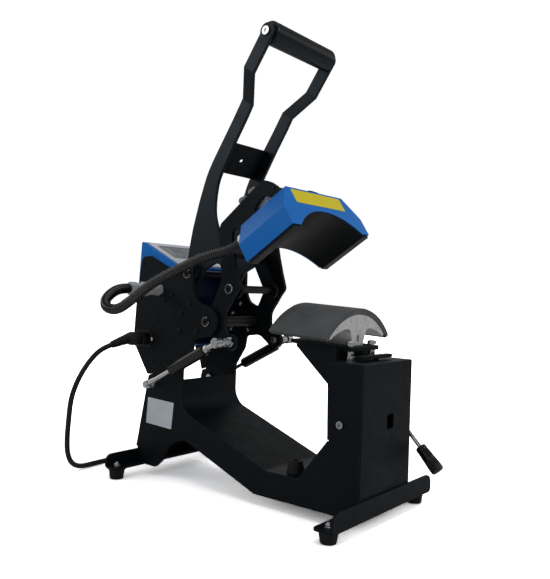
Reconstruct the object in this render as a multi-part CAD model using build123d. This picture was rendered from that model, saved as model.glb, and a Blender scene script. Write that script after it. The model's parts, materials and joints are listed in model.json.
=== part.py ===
from build123d import *
import math
import os

# Clamshell cap heat press.
# Working axes while the pieces are drawn: X lateral (0 = mid plane), Y from the
# pedestal's front sheet towards the rear, Z up from the floor.  At the end all
# pieces are shifted along Y so that the machine's box is centred on Y = 0.

# ------------------------------------------------------------------ dimensions
OUT = 55.0            # outer half width of the frame
PT = 5.0              # thickness of the frame's side plates
SH = 2.0              # thickness of the folded cover sheets

PED_H = 183.5         # pedestal height
PED_D = 47.5          # pedestal depth at its top
BAR_HALF = 110.0      # half length of the foot bars
BAR_Z0 = 14.0         # underside of the foot bars
FRONT_BAR_H = 22.0
REAR_BAR_H = 18.5
FOOT_X = 96.0
FOOT_Y = (12.0, 357.5)

A_YZ = (276.2, 279.6)     # handle pivot
B_YZ = (205.7, 260.9)     # toggle shaft on the platen arm
C_YZ = (239.5, 217.5)     # platen arm pivot
H_YZ = (229.0, 304.0)     # toggle pin on the handle
D_YZ = (202.0, 193.4)     # front stud of the gas springs
G_YZ = (328.0, 128.5)     # rear stud of the gas springs
SHAFT_R = 5.0
FIT = 0.05                # radial running clearance

ARM_O, ARM_I = 49.0, 44.0     # platen arm plates, outer and inner |x|
HAN_O, HAN_I = 43.5, 38.5     # handle arms, lower part
HUP_O, HUP_I = 67.0, 62.0     # handle arms, upper part
LNK_O, LNK_I = 38.0, 33.0     # toggle links

PLATEN_P0 = (0.0, 81.4, 337.3)    # front lower edge of the heater cover
PLATEN_TILT = -33.4               # pitch of the open upper platen
CLOSE_DEG = 36.4                  # swing of the platen arm when it closes
COV_D = 80.0                      # depth of the heater cover
COV_HALF = 82.5                   # half width of the heater cover
COV_H = 56.0
COV_SIDE = 25.0
COV_TOP = 60.0
ARC_U = -68.9                     # height of the common arc centre
COV_ARC = 95.4
HEAT_ARC = 94.0
PAD_ARC = 91.8
CAST_ARC = 84.6

SPR_X = 72.5          # gas springs, |x|
TUBE_R = 7.5
ROD_R = 3.0

GRIP_YZ = (142.0, 570.3)
GRIP_R = 14.2

CLAMP_YZ = (28.0, 115.0)
CLAMP_X = 66.0

CORD_R = 3.5
COND_R = 6.7

parts = {}


def add(name, *shapes):
    parts[name] = Compound(children=[s for s in shapes]) if len(shapes) > 1 else shapes[0]


# ------------------------------------------------------------------ helpers
def rounded(points):
    """Closed wire through points (u, v[, r]); r rounds that corner."""
    n = len(points)
    P = [(p[0], p[1]) for p in points]
    R = [p[2] if len(p) > 2 else 0.0 for p in points]
    ins, outs, mids = [], [], []
    for i in range(n):
        p = P[i]
        if R[i] <= 0:
            ins.append(p)
            outs.append(p)
            mids.append(None)
            continue
        a, b = P[i - 1], P[(i + 1) % n]
        v1 = (a[0] - p[0], a[1] - p[1])
        v2 = (b[0] - p[0], b[1] - p[1])
        l1, l2 = math.hypot(*v1), math.hypot(*v2)
        v1 = (v1[0] / l1, v1[1] / l1)
        v2 = (v2[0] / l2, v2[1] / l2)
        ang = math.acos(max(-1, min(1, v1[0] * v2[0] + v1[1] * v2[1])))
        t = min(R[i] / math.tan(ang / 2), 0.49 * l1, 0.49 * l2)
        r = t * math.tan(ang / 2)
        s1 = (p[0] + v1[0] * t, p[1] + v1[1] * t)
        s2 = (p[0] + v2[0] * t, p[1] + v2[1] * t)
        bis = (v1[0] + v2[0], v1[1] + v2[1])
        bl = math.hypot(*bis)
        bis = (bis[0] / bl, bis[1] / bl)
        d = r / math.sin(ang / 2) - r
        ins.append(s1)
        outs.append(s2)
        mids.append((p[0] + bis[0] * d, p[1] + bis[1] * d))
    edges = []
    for i in range(n):
        if mids[i] is not None:
            edges.append(ThreePointArc(ins[i], mids[i], outs[i]))
        q0, q1 = outs[i], ins[(i + 1) % n]
        if math.hypot(q0[0] - q1[0], q0[1] - q1[1]) > 1e-6:
            edges.append(Line(q0, q1))
    return edges


def yz_plate(points, x0, x1):
    """Plate in the YZ plane between two lateral positions."""
    f = make_face(rounded(points))
    s = extrude(Plane.YZ * f, amount=x1 - x0)
    return Pos(x0, 0, 0) * s


def xz_plate(points, y0, y1):
    """Plate in the XZ plane between two positions along Y."""
    f = make_face(rounded(points))
    s = extrude(Plane.XZ * f, amount=-(y1 - y0))
    return Pos(0, y0, 0) * s


def xy_plate(points, z0, z1):
    f = make_face(rounded(points))
    return Pos(0, 0, z0) * extrude(f, amount=z1 - z0)


def cyl_x(y, z, r, x0, x1):
    return Pos((x0 + x1) / 2, y, z) * Rot(0, 90, 0) * Cylinder(r, abs(x1 - x0))


def cyl_z(x, y, r, z0, z1):
    return Pos(x, y, (z0 + z1) / 2) * Cylinder(r, z1 - z0)


def cyl_y(x, z, r, y0, y1):
    return Pos(x, (y0 + y1) / 2, z) * Rot(90, 0, 0) * Cylinder(r, y1 - y0)


def box(x0, x1, y0, y1, z0, z1):
    return Pos((x0 + x1) / 2, (y0 + y1) / 2, (z0 + z1) / 2) * Box(x1 - x0, y1 - y0, z1 - z0)


def hexa(r, h):
    return extrude(RegularPolygon(r, 6), amount=h)


def hex_x(y, z, r, x0, x1):
    return Pos(min(x0, x1), y, z) * Rot(0, 90, 0) * hexa(r, abs(x1 - x0))


def rod_between(p, q, r):
    v = Vector(*q) - Vector(*p)
    pl = Plane(origin=p, z_dir=v.normalized())
    return pl * Pos(0, 0, v.length / 2) * Cylinder(r, v.length)


def solid_of(s):
    ss = s.solids()
    return ss[0] if len(ss) == 1 else s


# ------------------------------------------------------------------ frame
side_pts = [
    (SH, 17.2), (SH, PED_H - SH), (PED_D - SH, PED_H - SH), (43.0, 93.4),
    (56.0, 77.3), (83.1, 43.0, 6), (132.4, 43.0, 25), (283.0, 98.2, 28),
    (283.0, 138.0), (281.0, 138.0), (281.0, 151.0, 12), (264.0, 177.0, 10),
    (260.5, 194.5, 4), (239.5, 197.5), (228.0, 217.5), (239.5, 237.5),
    (257.0, 243.0, 16), (265.0, 262.0, 14), (265.0, 284.0, 8),
    (268.5, 294.5, 7), (277.0, 297.6, 8), (289.5, 294.0, 7), (296.5, 278.0, 6),
    (296.5, 250.0, 30), (311.5, 213.5, 60), (333.5, 150.0, 20), (338.5, 140.5, 3),
    (346.5, 138.0, 4), (350.5, 119.0, 20), (367.8, 36.4), (364.8, 36.4), (364.8, 17.2),
    (346.6, 17.2), (346.6, 13.4), (327.6, 13.4, 4), (316.0, 23.0, 6),
    (300.0, 50.0, 18), (272.0, 59.2, 26), (149.4, 13.4, 6), (24.4, 13.4), (24.4, 17.2)]


def side_plate(sgn):
    x0, x1 = (-OUT, -OUT + PT) if sgn < 0 else (OUT - PT, OUT)
    p = yz_plate(side_pts, x0, x1)
    p += cyl_x(C_YZ[0], C_YZ[1], 20.0, x0, x1)
    p -= cyl_x(C_YZ[0], C_YZ[1], SHAFT_R, x0 - 1, x1 + 1)
    p -= cyl_x(A_YZ[0], A_YZ[1], SHAFT_R, x0 - 1, x1 + 1)
    p -= cyl_x(G_YZ[0], G_YZ[1], 3.0, x0 - 1, x1 + 1)
    p -= cyl_x(CLAMP_YZ[0], CLAMP_YZ[1], 4.0 + FIT, x0 - 1, x1 + 1)
    for (y, z) in TOWER_BOLTS:
        p -= cyl_x(y, z, 2.0, x0 - 1, x1 + 1)
    return solid_of(p)


TOWER_BOLTS = [(286.0, 226.0), (288.0, 203.0), (256.0, 204.0), (272.0, 240.0)]
add("side_plate_left", side_plate(-1))
add("side_plate_right", side_plate(1))

# folded sheet over the pedestal: front, top and rear wall in one piece
ped_out = [(0, 17.2), (0, PED_H, 1.5), (PED_D, PED_H, 1.5), (45.09, 96.0),
           (43.09, 96.0), (PED_D - SH, PED_H - SH), (SH, PED_H - SH), (SH, 17.2)]
ped = yz_plate(ped_out, -OUT, OUT)
ped -= Pos(6.5, 1, 115) * Rot(90, 0, 0) * extrude(RectangleRounded(15.0, 17.0, 3.0), amount=6, both=True)
ped -= box(-3.0, 10.0, 13.5, 26.5, 180, 186)
for sx in (-24.0, 24.0):
    ped -= cyl_z(sx, 38.0, 3.0, 180, 186)
for sx in (-34.0, 34.0):
    for sz in (150.0, 170.0):
        ped -= cyl_y(sx, sz, 2.5, 40, 50)
add("pedestal_cover", solid_of(ped))

# folded sheet of the spine: chamfer behind the pedestal, flat, slope and rise
spine_out = [(45.0, 94.4), (57.6, 78.5), (84.2, 45.0, 8), (132.0, 45.0, 25),
             (281.0, 99.7, 30), (281.0, 138.0), (283.0, 138.0), (283.0, 98.2, 28),
             (132.4, 43.0, 25), (83.1, 43.0, 6), (56.0, 77.3), (43.0, 93.4)]
spine = yz_plate(spine_out, -OUT, OUT)
BUMP = [(-37.0, 100.0), (37.0, 100.0)]
for (bx, by) in BUMP:
    spine -= cyl_z(bx, by, 2.0, 40, 50)
add("spine_cover", solid_of(spine))

# foot bars: pressed angle with a rounded upright flange
W = BAR_HALF
fb_up = xz_plate([(-W, BAR_Z0, 5), (-W, BAR_Z0 + FRONT_BAR_H, 15), (W, BAR_Z0 + FRONT_BAR_H, 15), (W, BAR_Z0, 5)], -3.0, 0.0)
fb_flat = xy_plate([(-W, -3.0, 6), (W, -3.0, 6), (W, 24.0, 5), (-W, 24.0, 5)], BAR_Z0, BAR_Z0 + 3.0)
front_bar = fb_up + fb_flat
rb_up = xz_plate([(-W + 2, BAR_Z0, 4), (-W + 2, BAR_Z0 + REAR_BAR_H, 13), (W - 2, BAR_Z0 + REAR_BAR_H, 13), (W - 2, BAR_Z0, 4)], 365.0, 368.0)
rb_flat = xy_plate([(-W + 2, 347.0, 5), (W - 2, 347.0, 5), (W - 2, 368.0, 5), (-W + 2, 368.0, 5)], BAR_Z0, BAR_Z0 + 3.0)
rear_bar = rb_up + rb_flat
for sx in (-FOOT_X, FOOT_X):
    front_bar -= cyl_z(sx, FOOT_Y[0], 3.1, 10, 20)
    rear_bar -= cyl_z(sx, FOOT_Y[1], 3.1, 10, 20)
add("front_foot_bar", solid_of(front_bar))
add("rear_foot_bar", solid_of(rear_bar))

feet, screws = [], []
for sx in (-FOOT_X, FOOT_X):
    for fy in FOOT_Y:
        prof = make_face(Polyline((3.0, 0), (8.0, 0), (9.0, 0.9), (9.3, 3.0), (10.6, 11.6),
                                  (11.6, 12.6), (11.6, 14.0), (3.0, 14.0), (3.0, 0)))
        feet.append(Pos(sx, fy, 0) * revolve(Plane.XZ * prof, Axis.Z))
        b = cyl_z(sx, fy, 3.0, 3.0, 17.0) + Pos(sx, fy, 17.0) * hexa(4.2, 3.7)
        screws.append(b)
add("rubber_feet", *[solid_of(f) for f in feet])

# conical rubber buffers on the flat of the spine, each held by a pan screw
bumps = []
for (bx, by) in BUMP:
    prof = make_face(Polyline((2.0, 45.0), (11.0, 45.0), (11.0, 47.5), (7.8, 59.0), (6.8, 60.0), (4.2, 60.0),
                              (4.2, 56.0), (2.0, 56.0), (2.0, 45.0)))
    bumps.append(Pos(bx, by, 0) * revolve(Plane.XZ * prof, Axis.Z))
    screws.append(cyl_z(bx, by, 2.0, 41.0, 56.0) + cyl_z(bx, by, 3.8, 56.0, 58.2))
add("rubber_buffers", *[solid_of(b) for b in bumps])

for sgn in (-1, 1):
    xo, xi = sgn * OUT, sgn * (OUT - PT)
    for (y, z) in TOWER_BOLTS:
        s = cyl_x(y, z, 2.0, xi - sgn * 4.0, xo) + cyl_x(y, z, 3.6, xo, xo + sgn * 2.2)
        s += hex_x(y, z, 3.9, xi, xi - sgn * 3.2)
        screws.append(s)

# ------------------------------------------------------------------ lower platen
# closed attitude of the platen frame: the lower platen is set to match it
def swing(p, deg, c=C_YZ):
    a = math.radians(deg)
    y, z = p[0] - c[0], p[1] - c[1]
    return (c[0] + y * math.cos(a) - z * math.sin(a), c[1] + y * math.sin(a) + z * math.cos(a))


p0c = swing((PLATEN_P0[1], PLATEN_P0[2]), CLOSE_DEG)
closed_loc = Location((0, p0c[0], p0c[1]), (PLATEN_TILT + CLOSE_DEG, 0, 0))
open_loc = Location(PLATEN_P0, (PLATEN_TILT, 0, 0))


def arc_band(r_out, r_in, half_out, half_in, a0, a1):
    """Band of an arch about (0, ARC_U), extruded along the platen's depth."""
    cu = ARC_U
    def pt(r, x):
        return (x, cu + math.sqrt(r * r - x * x))
    lo, hi = pt(r_out, -half_out), pt(r_out, half_out)
    li, ri = pt(r_in, -half_in), pt(r_in, half_in)
    e = [ThreePointArc(lo, (0, cu + r_out), hi), Line(hi, ri), ThreePointArc(ri, (0, cu + r_in), li), Line(li, lo)]
    f = make_face(e)
    return Pos(0, a0, 0) * extrude(Plane.XZ * f, amount=-(a1 - a0))


LEG_LOW = -68.9 + 48.2           # underside of the casting's rib
cast = arc_band(CAST_ARC, CAST_ARC - 3.6, 60.0, 57.8, 1.0, 79.0)
cast_low = [(11.5, LEG_LOW), (16.5, -5.0, 4), (20.5, -1.2, 4), (30.0, -1.6, 10), (42.7, -5.0), (50.6, -8.0), (57.4, -12.0)]
cast_top = [(57.0, -9.2), (50.0, -3.0), (40.0, 3.6), (30.0, 8.3), (20.0, 11.5), (10.0, 13.3)]
cast_half = cast_low + cast_top
cast += xz_plate(cast_half + [(0.0, 13.9)] + [(-p[0],) + tuple(p[1:]) for p in reversed(cast_half)], 1.0, 79.0)
cast -= xz_plate([(-2.5, LEG_LOW + 4), (2.5, LEG_LOW + 4), (2.5, LEG_LOW + 12, 2), (-2.5, LEG_LOW + 12, 2)], 0, 22)
pad = arc_band(PAD_ARC, CAST_ARC, 71.0, 64.6, 0.0, 80.0)
SUP_T = 5.0
sup_top = box(-31, 31, -10.0, 76.0, LEG_LOW - SUP_T, LEG_LOW)
for (px, pa) in ((-6.5, 20.0), (6.5, 20.0), (-6.5, 60.0), (6.5, 60.0)):
    hole = cyl_z(px, pa, 2.5, LEG_LOW - SUP_T - 1, LEG_LOW + 10)
    sup_top -= hole
    cast -= hole
    screws.append(solid_of(closed_loc * (cyl_z(px, pa, 2.5, LEG_LOW - SUP_T, LEG_LOW + 9.8)
                                         + cyl_z(px, pa, 4.2, LEG_LOW - SUP_T - 3.5, LEG_LOW - SUP_T))))
add("lower_platen", solid_of(closed_loc * cast))
add("lower_pad", solid_of(closed_loc * pad))

# cantilever bracket behind the pedestal: back plate, shelf and two gussets
sup = closed_loc * sup_top
sy0 = 45.9
back = box(-40, 40, PED_D + 0.02, PED_D + 5.0, 138.0, 196.5)
gus = [yz_plate([(52.0, 142.0), (52.0, 196.0), (112.0, 200.0), (112.0, 195.0)], gx, gx + 4.0) for gx in (-28.0, 24.0)]
lower_gap = closed_loc * box(-60, 60, -20, 120, LEG_LOW, LEG_LOW + 60)
sup_all = (back + gus[0] + gus[1] + sup) - lower_gap
bolt_sup = []
for sx in (-34.0, 34.0):
    for sz in (150.0, 170.0):
        sup_all -= cyl_y(sx, sz, 2.5, 40, 60)
        screws.append(solid_of(cyl_y(sx, sz, 2.5, 42.0, PED_D + 5.0) + cyl_y(sx, sz, 4.4, PED_D + 5.0, PED_D + 8.4)))
for sx in (-24.0, 24.0):
    sup_all -= cyl_z(sx, 38.0, 3.0, 180, 206)
add("lower_support", solid_of(sup_all))

# two levelling studs between the pedestal's top and the shelf
posts = []
for sx in (-24.0, 24.0):
    st = cyl_z(sx, 38.0, 3.0, 178.0, 205.4) + Pos(sx, 38.0, PED_H) * hexa(6.0, 4.5)
    st += Pos(sx, 38.0, 178.0) * hexa(6.0, 3.5)
    st += cyl_z(sx, 38.0, 4.2, PED_H + 4.5, 193.8)
    st += Pos(sx, 38.0, 200.4) * hexa(5.4, 4.0)
    posts.append(st)
add("platen_posts", *[solid_of(p) for p in posts])

# ------------------------------------------------------------------ cap clamp
cy, cz = CLAMP_YZ
shaft = cyl_x(cy, cz, 4.0, -OUT - 2.5, CLAMP_X + 6.0)
shaft += cyl_x(cy, cz, 4.3, -OUT - 2.8, -OUT - 0.3)
shaft += cyl_x(cy, cz, 7.0, OUT + 0.3, OUT + 4.0)
PIN_R, PIN_DEG = 14.0, 195.0
pin_y = cy + PIN_R * math.cos(math.radians(PIN_DEG))
pin_z = cz + PIN_R * math.sin(math.radians(PIN_DEG))
crank = yz_plate([(cy + 6.5, cz + 7.0, 5), (cy + 6.5, cz - 5.5, 5), (pin_y - 6.0, pin_z - 5.5, 5), (pin_y - 6.0, pin_z + 5.5, 5)], -5.0, -1.0)
crank += cyl_x(pin_y, pin_z, 2.5, -5.0, 7.0)
shaft += crank
shaft -= Pos(-OUT - 2.8, cy, cz) * Rot(0, 90, 0) * extrude(RegularPolygon(2.3, 6), amount=2.0)
add("clamp_shaft", solid_of(shaft))

lev_dir = (math.cos(math.radians(225.3)), math.sin(math.radians(225.3)))
lever_hub = cyl_x(cy, cz, 7.5, CLAMP_X - 5.0, CLAMP_X + 5.0)
lever_hub -= cyl_x(cy, cz, 4.0, CLAMP_X - 6.0, CLAMP_X + 7.0)
lp0 = (CLAMP_X, cy + lev_dir[0] * 5.5, cz + lev_dir[1] * 5.5)
lp1 = (CLAMP_X, cy + lev_dir[0] * 62.0, cz + lev_dir[1] * 62.0)
lever = lever_hub + (rod_between(lp0, lp1, 2.5) - cyl_x(cy, cz, 4.0, CLAMP_X - 6.0, CLAMP_X + 7.0))
add("clamp_lever", solid_of(lever))
kp = (CLAMP_X, cy + lev_dir[0] * 52.0, cz + lev_dir[1] * 52.0)
kn_prof = make_face(Polyline((2.5, 0), (5.9, 0), (6.9, 1.2), (8.0, 30.0), (8.1, 33.2), (7.0, 35.4), (0, 36.2), (0, 10.0), (2.5, 10.0), (2.5, 0)))
knob = Plane(origin=kp, z_dir=(0, lev_dir[0], lev_dir[1])) * revolve(Plane.XZ * kn_prof, Axis.Z)
add("lever_knob", solid_of(knob))

# pull bar of the cap clamp: slotted foot on the crank pin, cross bar above the pedestal
bar = box(1.5, 5.5, 16.6, 23.4, 112.0, 187.0)
bar += yz_plate([(7.6, 119.4, 3), (7.6, 103.4, 3), (23.4, 103.4, 3), (23.4, 119.4)], 1.5, 5.5)
bar -= yz_plate([(10.8, pin_z - 2.85, 2.8), (18.4, pin_z - 2.85, 2.8), (18.4, pin_z + 2.85, 2.8), (10.8, pin_z + 2.85, 2.8)], 1.0, 6.0)
bar += box(-34.0, 35.0, 15.8, 24.2, 186.0, 190.0)
add("clamp_bar", solid_of(bar))

# ------------------------------------------------------------------ shafts held by the frame
def shaft_x(c, half):
    s = cyl_x(c[0], c[1], SHAFT_R, -half, half)
    for sg in (-1, 1):
        s -= cyl_x(c[0], c[1], 1.9, sg * half, sg * (half - 6.0))
    s = solid_of(s)
    return s


add("pivot_shafts", shaft_x(C_YZ, OUT + 1.8), shaft_x(A_YZ, OUT + 1.8))


def ring_x(c, x0, x1, ro, ri=SHAFT_R):
    return cyl_x(c[0], c[1], ro, x0, x1) - cyl_x(c[0], c[1], ri, min(x0, x1) - 1, max(x0, x1) + 1)


hard = []
for sg in (-1, 1):
    hard.append(solid_of(ring_x(C_YZ, sg * OUT, sg * (OUT + 1.0), 6.6)))
    hard.append(solid_of(ring_x(A_YZ, sg * OUT, sg * (OUT + 1.0), 6.6)))
    hard.append(solid_of(ring_x(A_YZ, sg * (HAN_O + 0.3), sg * (OUT - PT), 8.5)))
add("shaft_rings", *hard)

studs = []
for sg in (-1, 1):
    s = cyl_x(G_YZ[0], G_YZ[1], 3.0, sg * (OUT - PT - 5.0), sg * (SPR_X + 5.2))
    s += cyl_x(G_YZ[0], G_YZ[1], 5.0, sg * OUT, sg * (OUT + 10.0))
    s += hex_x(G_YZ[0], G_YZ[1], 5.4, sg * (OUT - PT), sg * (OUT - PT - 4.5))
    s += cyl_x(G_YZ[0], G_YZ[1], 4.4, sg * (SPR_X + 4.0), sg * (SPR_X + 5.2))
    studs.append(solid_of(s))
add("gas_studs_rear", *studs)

# ------------------------------------------------------------------ platen arm
arm_pts = [
    (204.0, 337.0, 5), (191.0, 336.6, 4), (164.6, 352.8, 2.5), (168.1, 360.3, 3), (161.3, 370.5, 4), (153.1, 376.2, 3),
    (146.6, 374.5, 3), (141.1, 377.2, 4), (128.6, 376.1, 2), (132.8, 386.4, 5), (143.0, 392.5, 12),
    (156.0, 396.5, 12), (223.6, 344.8, 9), (227.2, 334.0, 30), (220.0, 298.0, 40), (219.5, 272.0, 30), (233.1, 242.0, 20),
    (242.0, 231.0), (252.0, 217.5), (240.0, 199.0), (228.0, 196.5, 10), (213.0, 185.5, 6), (202.0, 181.4, 8),
    (191.4, 188.0, 8), (193.0, 196.0, 4), (205.5, 201.5, 8), (211.4, 212.0, 14), (212.0, 229.0, 16),
    (196.0, 253.5, 20), (188.0, 263.0, 8), (194.9, 285.1, 80), (200.6, 306.5, 40), (203.6, 320.0, 30)]


def arm_plate(sg):
    x0, x1 = (-ARM_O, -ARM_I) if sg < 0 else (ARM_I, ARM_O)
    p = yz_plate(arm_pts, x0, x1)
    p += cyl_x(C_YZ[0], C_YZ[1], 16.0, x0, x1)
    p += cyl_x(D_YZ[0], D_YZ[1], 10.0, x0, x1)
    p -= cyl_x(C_YZ[0], C_YZ[1], SHAFT_R + FIT, x0 - 1, x1 + 1)
    p -= cyl_x(B_YZ[0], B_YZ[1], SHAFT_R, x0 - 1, x1 + 1)
    p -= cyl_x(D_YZ[0], D_YZ[1], 3.0, x0 - 1, x1 + 1)
    p -= cyl_x(138.0, 385.4, 1.6, x0 - 1, x1 + 1)
    return solid_of(p)


add("arm_plate_left", arm_plate(-1))
add("arm_plate_right", arm_plate(1))
add("pivot_tube", solid_of(ring_x(C_YZ, -ARM_I, ARM_I, 7.0, SHAFT_R + FIT)))
tsh = shaft_x(B_YZ, ARM_O + 1.8)
for sg in (-1, 1):
    tsh += ring_x(B_YZ, sg * (ARM_O + 0.02), sg * (ARM_O + 0.82), 6.2, 4.0)
add("toggle_shaft", solid_of(tsh))
add("arm_tie_rod", solid_of(cyl_x(138.0, 385.4, 1.6, -ARM_O - 1.5, ARM_O + 1.5)))
fs = []
for sg in (-1, 1):
    s = cyl_x(D_YZ[0], D_YZ[1], 3.0, sg * (ARM_I - 5.0), sg * (SPR_X + 5.6))
    s += cyl_x(D_YZ[0], D_YZ[1], 5.4, sg * ARM_O, sg * (ARM_O + 2.2))
    s += hex_x(D_YZ[0], D_YZ[1], 5.2, sg * (ARM_O + 5.5), sg * (ARM_O + 10.0))
    s += cyl_x(D_YZ[0], D_YZ[1], 4.2, sg * (ARM_O + 12.0), sg * (ARM_O + 18.0))
    s += hex_x(D_YZ[0], D_YZ[1], 5.2, sg * ARM_I, sg * (ARM_I - 4.5))
    s += cyl_x(D_YZ[0], D_YZ[1], 5.6, sg * (SPR_X + 4.5), sg * (SPR_X + 5.9))
    fs.append(solid_of(s))
add("gas_studs_front", *fs)

# bridge between the arm plates, above the heater, and the parts under it (platen axes)
BR0, BR1 = 76.2, 82.2
bridge = box(-ARM_I, ARM_I, 40.0, 92.0, BR0, BR1)
PB = [(-30.0, 61.0), (30.0, 61.0), (-30.0, 80.0), (30.0, 80.0)]
for (bx, ba) in PB:
    bridge -= cyl_z(bx, ba, 4.0, BR0 - 1, BR1 + 1)
add("arm_bridge", solid_of(open_loc * bridge))

casting = box(-41.0, 41.0, 26.0, 64.0, 58.2, 64.0)
casting += box(-41.0, 41.0, 43.0, 57.0, 64.0, BR0)
for rx in (-39.0, -14.0, 10.0, 35.0):
    casting += Pos(rx, 0, 0) * yz_plate([(28.0, 64.0), (62.5, 64.0), (60.0, 70.0), (57.0, BR0 - 1.2), (43.0, BR0 - 1.2), (33.0, 67.0)], 0.0, 4.0)
rear_lug = box(-41.0, 41.0, 57.0, 88.0, BR0 - 4.2, BR0)
casting += rear_lug
for (bx, ba) in PB:
    casting -= cyl_z(bx, ba, 4.0, 60, BR0 + 1)
for px in (-32.0, 32.0):
    for pa in (30.0, 52.0):
        casting += cyl_z(px, pa, 5.0, 33.6, 58.2)
add("platen_casting", solid_of(open_loc * casting))

pbs = []
for (bx, ba) in PB:
    zlow = 62.0 if ba < 65 else BR0 - 9.0
    s = cyl_z(bx, ba, 4.0, zlow, 96.0)
    s += Pos(bx, ba, BR1) * hexa(7.2, 5.0)
    s += Pos(bx, ba, 96.0) * hexa(6.6, 5.5)
    if ba > 65:
        s += Pos(bx, ba, BR0 - 9.0) * hexa(6.6, 4.7)
    pbs.append(solid_of(open_loc * s))
add("pressure_bolts", *pbs)

cov = xz_plate([(-COV_HALF, 0), (-COV_HALF, COV_SIDE, 2), (-COV_TOP, COV_H, 3), (COV_TOP, COV_H, 3), (COV_HALF, COV_SIDE, 2), (COV_HALF, 0)], 0.0, COV_D)
T = 1.5
cav = xz_plate([(-COV_HALF + T, -5), (-COV_HALF + T, COV_SIDE - 0.5), (-COV_TOP + 0.7, COV_H - T), (COV_TOP - 0.7, COV_H - T), (COV_HALF - T, COV_SIDE - 0.5), (COV_HALF - T, -5)], T, COV_D - T)
cov -= cav
cov -= Pos(0, COV_D / 2, ARC_U) * Rot(90, 0, 0) * Cylinder(COV_ARC, COV_D + 10)
cov -= box(-37.5, 37.5, 24.5, 57.5, COV_H - 5, COV_H + 5)
GL_X, GL_U = -58.0, 39.0
cov -= cyl_y(GL_X, GL_U, 5.0, COV_D - 5, COV_D + 5)
add("heater_cover", solid_of(open_loc * cov))

HT = 14.0
heat = xz_plate([(-80.6, -3.4, 1), (-80.6, 14.0, 4), (-60.0, HEAT_ARC + HT + ARC_U - 19.5, 10), (60.0, HEAT_ARC + HT + ARC_U - 19.5, 10), (80.6, 14.0, 4), (80.6, -3.4, 1)], 2.0, COV_D - 2.0)
dome = Pos(0, COV_D / 2, ARC_U) * Rot(90, 0, 0) * Cylinder(HEAT_ARC + HT, COV_D - 4)
heat_top = dome & box(-60.0, 60.0, 2.0, COV_D - 2.0, 0, 60)
heat = heat + heat_top
heat -= Pos(0, COV_D / 2, ARC_U) * Rot(90, 0, 0) * Cylinder(HEAT_ARC, COV_D + 10)
for px in (-32.0, 32.0):
    for pa in (30.0, 52.0):
        heat -= box(px - 8, px + 8, pa - 8, pa + 8, 33.6, 60)
# two element channels through the casting, round
add("heating_platen", solid_of(open_loc * heat))

ins_pad = arc_band(HEAT_ARC + HT + 5.5, HEAT_ARC + HT + 0.3, 50.0, 50.0, 6.0, COV_D - 6.0)
for px in (-32.0, 32.0):
    for pa in (30.0, 52.0):
        ins_pad -= box(px - 9, px + 9, pa - 9, pa + 9, 20, 60)
add("insulation_pad", solid_of(open_loc * ins_pad))

# ------------------------------------------------------------------ handle
up_pts = [(133.6, 564.5), (148.4, 574.7), (176.6, 533.7), (161.8, 523.5)]
lo_pts = [(182.6, 493.3), (197.8, 503.6), (213.4, 478.6, 150), (232.5, 449.8, 200), (249.3, 424.3, 150), (257.8, 408.2, 150),
          (269.5, 375.7, 200), (280.5, 338.7, 200), (286.0, 312.0, 60), (290.0, 285.0, 12), (281.0, 266.5, 12), (267.0, 268.0, 10), (256.5, 285.0, 12),
          (238.0, 294.0, 10), (225.0, 292.0, 10), (216.0, 303.0, 12), (224.0, 317.0, 14), (233.0, 336.0, 30),
          (240.8, 357.1, 80), (240.5, 379.3, 100), (236.7, 400.8, 100), (229.5, 415.1, 100), (208.0, 451.8, 200), (190.6, 479.2, 150)]


def handle_arm(sg):
    def xr(o, i):
        return (-o, -i) if sg < 0 else (i, o)
    xu = xr(HUP_O, HUP_I)
    xl = xr(HAN_O, HAN_I)
    up = yz_plate(up_pts, *xu) + cyl_x(GRIP_YZ[0], GRIP_YZ[1], 10.3, *xu)
    lo = yz_plate(lo_pts, *xl)
    def rect(xa, xb, p, q):
        return Face(Wire.make_polygon([(xa, p[0], p[1]), (xb, p[0], p[1]), (xb, q[0], q[1]), (xa, q[0], q[1])], close=True))
    f1 = rect(xu[0], xu[1], (176.6, 533.7), (161.8, 523.5))
    f2 = rect(xl[0], xl[1], (197.8, 503.6), (182.6, 493.3))
    mid = Solid.make_loft([f1.outer_wire(), f2.outer_wire()], ruled=True)
    h = up + mid + lo
    h -= cyl_x(A_YZ[0], A_YZ[1], SHAFT_R + FIT, xl[0] - 1, xl[1] + 1)
    h -= cyl_x(H_YZ[0], H_YZ[1], 4.0, xl[0] - 1, xl[1] + 1)
    h -= cyl_x(GRIP_YZ[0], GRIP_YZ[1], 4.0, xu[0] - 1, xu[1] + 1)
    return solid_of(h)


add("handle_arm_left", handle_arm(-1))
add("handle_arm_right", handle_arm(1))
cp0, cp1 = (225.2, 454.0), (249.6, 418.0)
ddy, ddz = cp1[0] - cp0[0], cp1[1] - cp0[1]
L = math.hypot(ddy, ddz)
ny, nz = ddz / L, -ddy / L
cross = yz_plate([cp0, cp1, (cp1[0] + ny * 4, cp1[1] + nz * 4), (cp0[0] + ny * 4, cp0[1] + nz * 4)], -HAN_I, HAN_I)
cmid = ((cp0[0] + cp1[0]) / 2, (cp0[1] + cp1[1]) / 2)
cpl = Plane(origin=(0, cmid[0], cmid[1]), x_dir=(1, 0, 0), z_dir=(0, ny, nz))
cross -= cpl * extrude(SlotOverall(8.0, 5.0), amount=10, both=True)
add("handle_cross_plate", solid_of(cross))
grip_prof = make_face(Polyline((6.0, -HUP_I + 0.2), (12.8, -HUP_I + 0.2), (GRIP_R, -HUP_I + 2.2), (GRIP_R, HUP_I - 2.2), (12.8, HUP_I - 0.2), (6.0, HUP_I - 0.2), (6.0, -HUP_I + 0.2)))
grip = Pos(0, GRIP_YZ[0], GRIP_YZ[1]) * Rot(0, 90, 0) * revolve(Plane.XZ * grip_prof, Axis.Z)
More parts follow.
